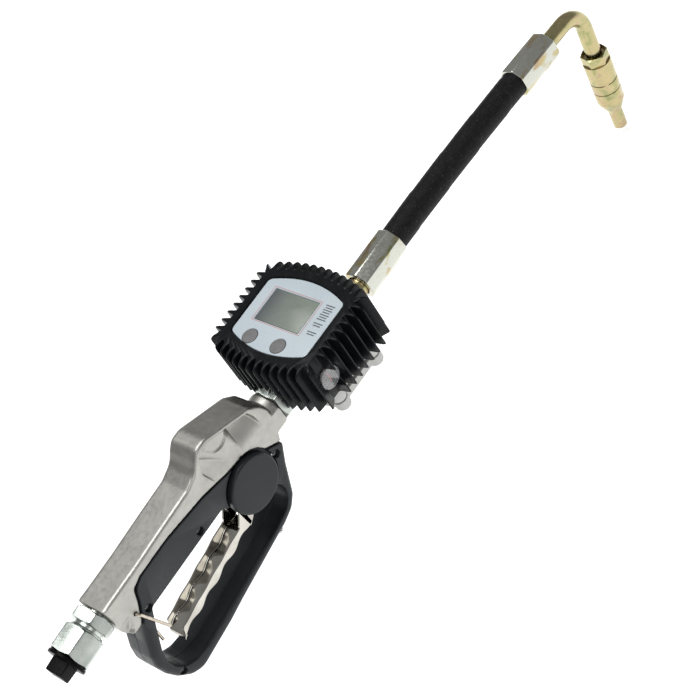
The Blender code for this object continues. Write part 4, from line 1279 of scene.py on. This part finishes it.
def outlet_hexagon():
    """The hexagon adapter from the handle to the meter."""
    at = (0, 0, FLOW_Z)
    hexagon = hex_bar("outlet_hexagon", 27.0, 214.3, 221.4, "zinc", at, X_AXIS, math.radians(12))
    stands_for(hexagon, "handle", "zinc_plate", "outlet_adapter")
    collar = [(221.0, 5.0), (239.4, 5.0), (239.4, 9.7), (227.0, 9.7), (227.0, 12.6), (221.0, 12.6)]
    collar = rounded_profile(collar, 0.6)
    stands_for(turned("outlet_collar", collar, "zinc", at), "handle", "zinc_plate")
    neck = rounded_profile([(199.0, 5.0), (215.0, 5.0), (215.0, 9.7), (199.0, 9.7)], 0.3)
    stands_for(turned("outlet_neck", neck, "zinc", at), "handle", "zinc_plate")


outlet_hexagon()


# ---------------------------------------------------------------- hose line

HOSE_R = 10.0
HOSE_CLEAR = 10.35
WRAP_PITCH = 38.0
WRAP_STEP = 0.3
HOSE_ROUTE = [
    (331.0, 0, -12.0), (363.0, 0, -12.0), (394.0, 0, -12.2), (425.0, 0, -12.9), (456.0, 0, -13.9),
    (487.0, 0, -15.4), (518.0, 0, -17.3), (552.0, 0, -19.6),
]


def hose():
    """The wrapped hose, with the step of its spiral wrap running round it."""
    path = smooth_path(HOSE_ROUTE, 48)
    sides = 72
    data = bmesh.new()
    rings = []
    travel = 0.0
    for i, place in enumerate(path):
        heading = (path[min(i + 1, len(path) - 1)] - path[max(i - 1, 0)]).normalized()
        across = heading.cross(Y_AXIS).normalized()
        if i:
            travel += (place - path[i - 1]).length
        ring = []
        for k in range(sides):
            turn = math.tau * k / sides
            phase = (travel / WRAP_PITCH + turn / math.tau) % 1.0
            drop = max(0.0, (phase - 0.95) / 0.05) ** 0.5
            radius = HOSE_R + WRAP_STEP * phase - WRAP_STEP * drop * phase
            ring.append(place + (Y_AXIS * math.cos(turn) + across * math.sin(turn)) * radius)
        rings.append(ring)
    ring_stack(data, rings)
    stands_for(finish_mesh("wrapped_hose", data, "hose", sharp=60), "handle", "black_rubber", "hose")


def ferrule(name, node, start, direction, length, neck_at_start):
    """A crimped sleeve: eight flats with soft corners, a turned lip where the neck goes in."""
    outline, _ = polygon(8, 23.4, math.radians(10))
    outline = filleted(outline, 2.6, steps=5)
    data = bmesh.new()
    rings = []
    for distance, shrink in round_levels(0, length, 0.9, 0.9, 4):
        rings.append([(x, y, distance) for x, y in inset(outline, [shrink] * len(outline))])
    ring_stack(data, rings)
    sleeve = finish_mesh(name, data, "yellow", start, along(direction), sharp=35)
    neck_r = 8.6 if neck_at_start else 6.9
    low_r, high_r = (neck_r, HOSE_CLEAR) if neck_at_start else (HOSE_CLEAR, neck_r)
    closed = 2.5 if neck_at_start else length - 2.5
    far = length + 1
    bore = [(-1, 0), (far, 0), (far, high_r), (closed, high_r), (closed, low_r), (-1, low_r)]
    boolean(sleeve, turned("bore", bore, "yellow", start, direction, 72))
    return stands_for(sleeve, "handle", "yellow_zinc", node)


def fitting_neck():
    """The hose fitting, with its last threads showing between the meter and the ferrule."""
    profile = [(288.0, 4.5), (330.0, 4.5), (330.0, 7.9), (314.0, 7.9), (313.0, 8.4)]
    turns = 9
    for k in range(turns):
        x = 312.0 - k * 1.4
        profile += [(x, 9.5), (x - 0.2, 9.5), (x - 0.7, 8.7)]
    profile += [(288.0, 9.5)]
    piece = turned("fitting_neck", profile, "gold", (0, 0, FLOW_Z), X_AXIS, 72, 20)
    stands_for(piece, "handle", "yellow_zinc", "hose_fitting")


def bent_tube():
    """The outlet tube: straight out of the ferrule, a quarter turn, then down into the nozzle."""
    bend_r = 20.0
    start = Vector((581.0, 0, -21.5))
    centre = start + NOZZLE_AXIS * bend_r
    path = [start - HOSE_RUN * 29.0, start - HOSE_RUN * 15.0, start - HOSE_RUN * 5.0]
    for i in range(33):
        angle = math.pi / 2 * i / 32
        path.append(centre + HOSE_RUN * bend_r * math.sin(angle) - NOZZLE_AXIS * bend_r * math.cos(angle))
    end = path[-1]
    path += [end + NOZZLE_AXIS * 10.0, end + NOZZLE_AXIS * 25.0, end + NOZZLE_AXIS * 41.0]
    piece = tube("bent_tube", path, 6.3, "gold", 48)
    stands_for(piece, "handle", "yellow_zinc", "outlet_tube")


def nozzle_parts():
    """The non-drip nozzle: hexagon, grooved sleeve and tapered tip."""
    at, down = NOZZLE_TOP, NOZZLE_AXIS
    sleeve = [(8.3, 6.7), (35.4, 6.7), (35.4, 10.9), (26.9, 10.9), (26.3, 10.3), (25.7, 10.9), (8.3, 10.9)]
    sleeve = rounded_profile(sleeve, 0.35)
    body = turned("nozzle_body", sleeve, "gold", at, down, 96)
    stands_for(body, "handle", "yellow_zinc", "nozzle_sleeve")
    head = hex_bar("nozzle_hexagon", 18.8, 0.0, 8.6, "gold", at, down, math.radians(14), edge=0.4)
    mouth = [(-1, 0), (9, 0), (9, 6.7), (5.0, 6.7), (4.4, 9.0), (0.4, 9.3), (-1, 9.7)]
    boolean(head, turned("mouth", mouth, "gold", at, down))
    stands_for(head, "handle", "yellow_zinc")
    tip = rounded_profile(
        [
            (75.8, 3.6), (75.8, 5.3), (58.5, 5.6), (52.6, 8.6), (47.0, 10.9), (36.1, 10.9), (35.8, 10.4),
            (35.8, 8.1), (26.0, 8.1), (26.0, 6.8), (46.0, 6.8), (50.0, 3.6),
        ],
        0.5, {1: 1.6, 2: 5.0, 4: 4.0},
    )
    piece = turned("nozzle_tip_body", tip, "gold", at, down, 96)
    stands_for(piece, "handle", "yellow_zinc", "nozzle_tip")


hose()
ferrule("ferrule_one", "ferrule_lower", (321.6, 0, FLOW_Z), X_AXIS, 41.4, True)
ferrule("ferrule_two", "ferrule_upper", (518.4, 0, -17.3), HOSE_RUN, 41.4, False)
fitting_neck()
bent_tube()
nozzle_parts()


# ---------------------------------------------------------------- carried-over CAD nodes

CARRIED = {
    "inlet_washer": "seal", "stem_seal": "seal", "nozzle_seat": "seal",
    "valve_seat": "brass", "nozzle_poppet": "brass",
    "valve_spring": "wire", "nozzle_spring": "wire",
    "valve_stem": "nickel", "lift_cam": "nickel", "pivot_pin": "nickel",
    "rotor_axle_left": "nickel", "rotor_axle_right": "nickel",
    "oval_rotor_left": "plastic", "oval_rotor_right": "plastic", "display_housing": "plastic",
    "battery": "zinc", "circuit_board": "board",
    "base_screw_1": "zinc", "base_screw_2": "zinc", "base_screw_3": "zinc", "base_screw_4": "zinc",
}


def dress_carried_nodes():
    for name, look in CARRIED.items():
        node = frame["nodes"][name]
        node.data.materials.clear()
        node.data.materials.append(MATERIALS[look])


def shorten_springs():
    """Give each spring a mesh of its own; the springs keep their length here."""
    nodes = frame["nodes"]
    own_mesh(nodes["valve_spring"])
    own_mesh(nodes["nozzle_spring"])


dress_carried_nodes()
shorten_springs()


# ---------------------------------------------------------------- stage


def area_light(name, place, target, size, power, colour=(1, 1, 1)):
    data = bpy.data.lights.new(name, "AREA")
    data.shape = "RECTANGLE"
    data.size, data.size_y = size
    data.energy = power
    data.color = colour
    light = bpy.data.objects.new(name, data)
    bpy.context.scene.collection.objects.link(light)
    light.location = place
    light.rotation_euler = (Vector(place) - Vector(target)).to_track_quat("Z", "Y").to_euler()


def stage():
    data = bmesh.new()
    bmesh.ops.create_grid(data, x_segments=2, y_segments=2, size=4000)
    floor = finish_mesh("floor", data, "floor", (300, 0, -150))
    world = bpy.data.worlds.new("studio")
    world.use_nodes = True
    world.node_tree.nodes["Background"].inputs["Color"].default_value = (1, 1, 1, 1)
    world.node_tree.nodes["Background"].inputs["Strength"].default_value = 0.30
    bpy.context.scene.world = world
    centre = (0.30, 0, -0.02)
    area_light("top_light", (0.25, 0.25, 1.7), centre, (1.0, 1.0), 22)
    area_light("front_light", (-0.5, -1.5, 1.1), centre, (0.9, 0.9), 6)
    bpy.context.scene.view_settings.view_transform = "Standard"


def camera():
    """The photograph's view: from the left of the grip, above, with the object running up the frame."""
    right = Vector((0.5579, -0.7254, -0.4031))
    up = Vector((0.7658, 0.2628, 0.5869))
    back = right.cross(up)
    data = bpy.data.cameras.new("camera")
    data.lens = 102.857
    data.sensor_width = 36
    data.clip_start = 0.05
    view = bpy.data.objects.new("camera", data)
    bpy.context.scene.collection.objects.link(view)
    turn = Matrix((right, up, back)).transposed()
    view.matrix_world = Matrix.Translation((-0.1552, -0.8812, 0.9295)) @ turn.to_4x4()
    bpy.context.scene.camera = view


stage()
camera()
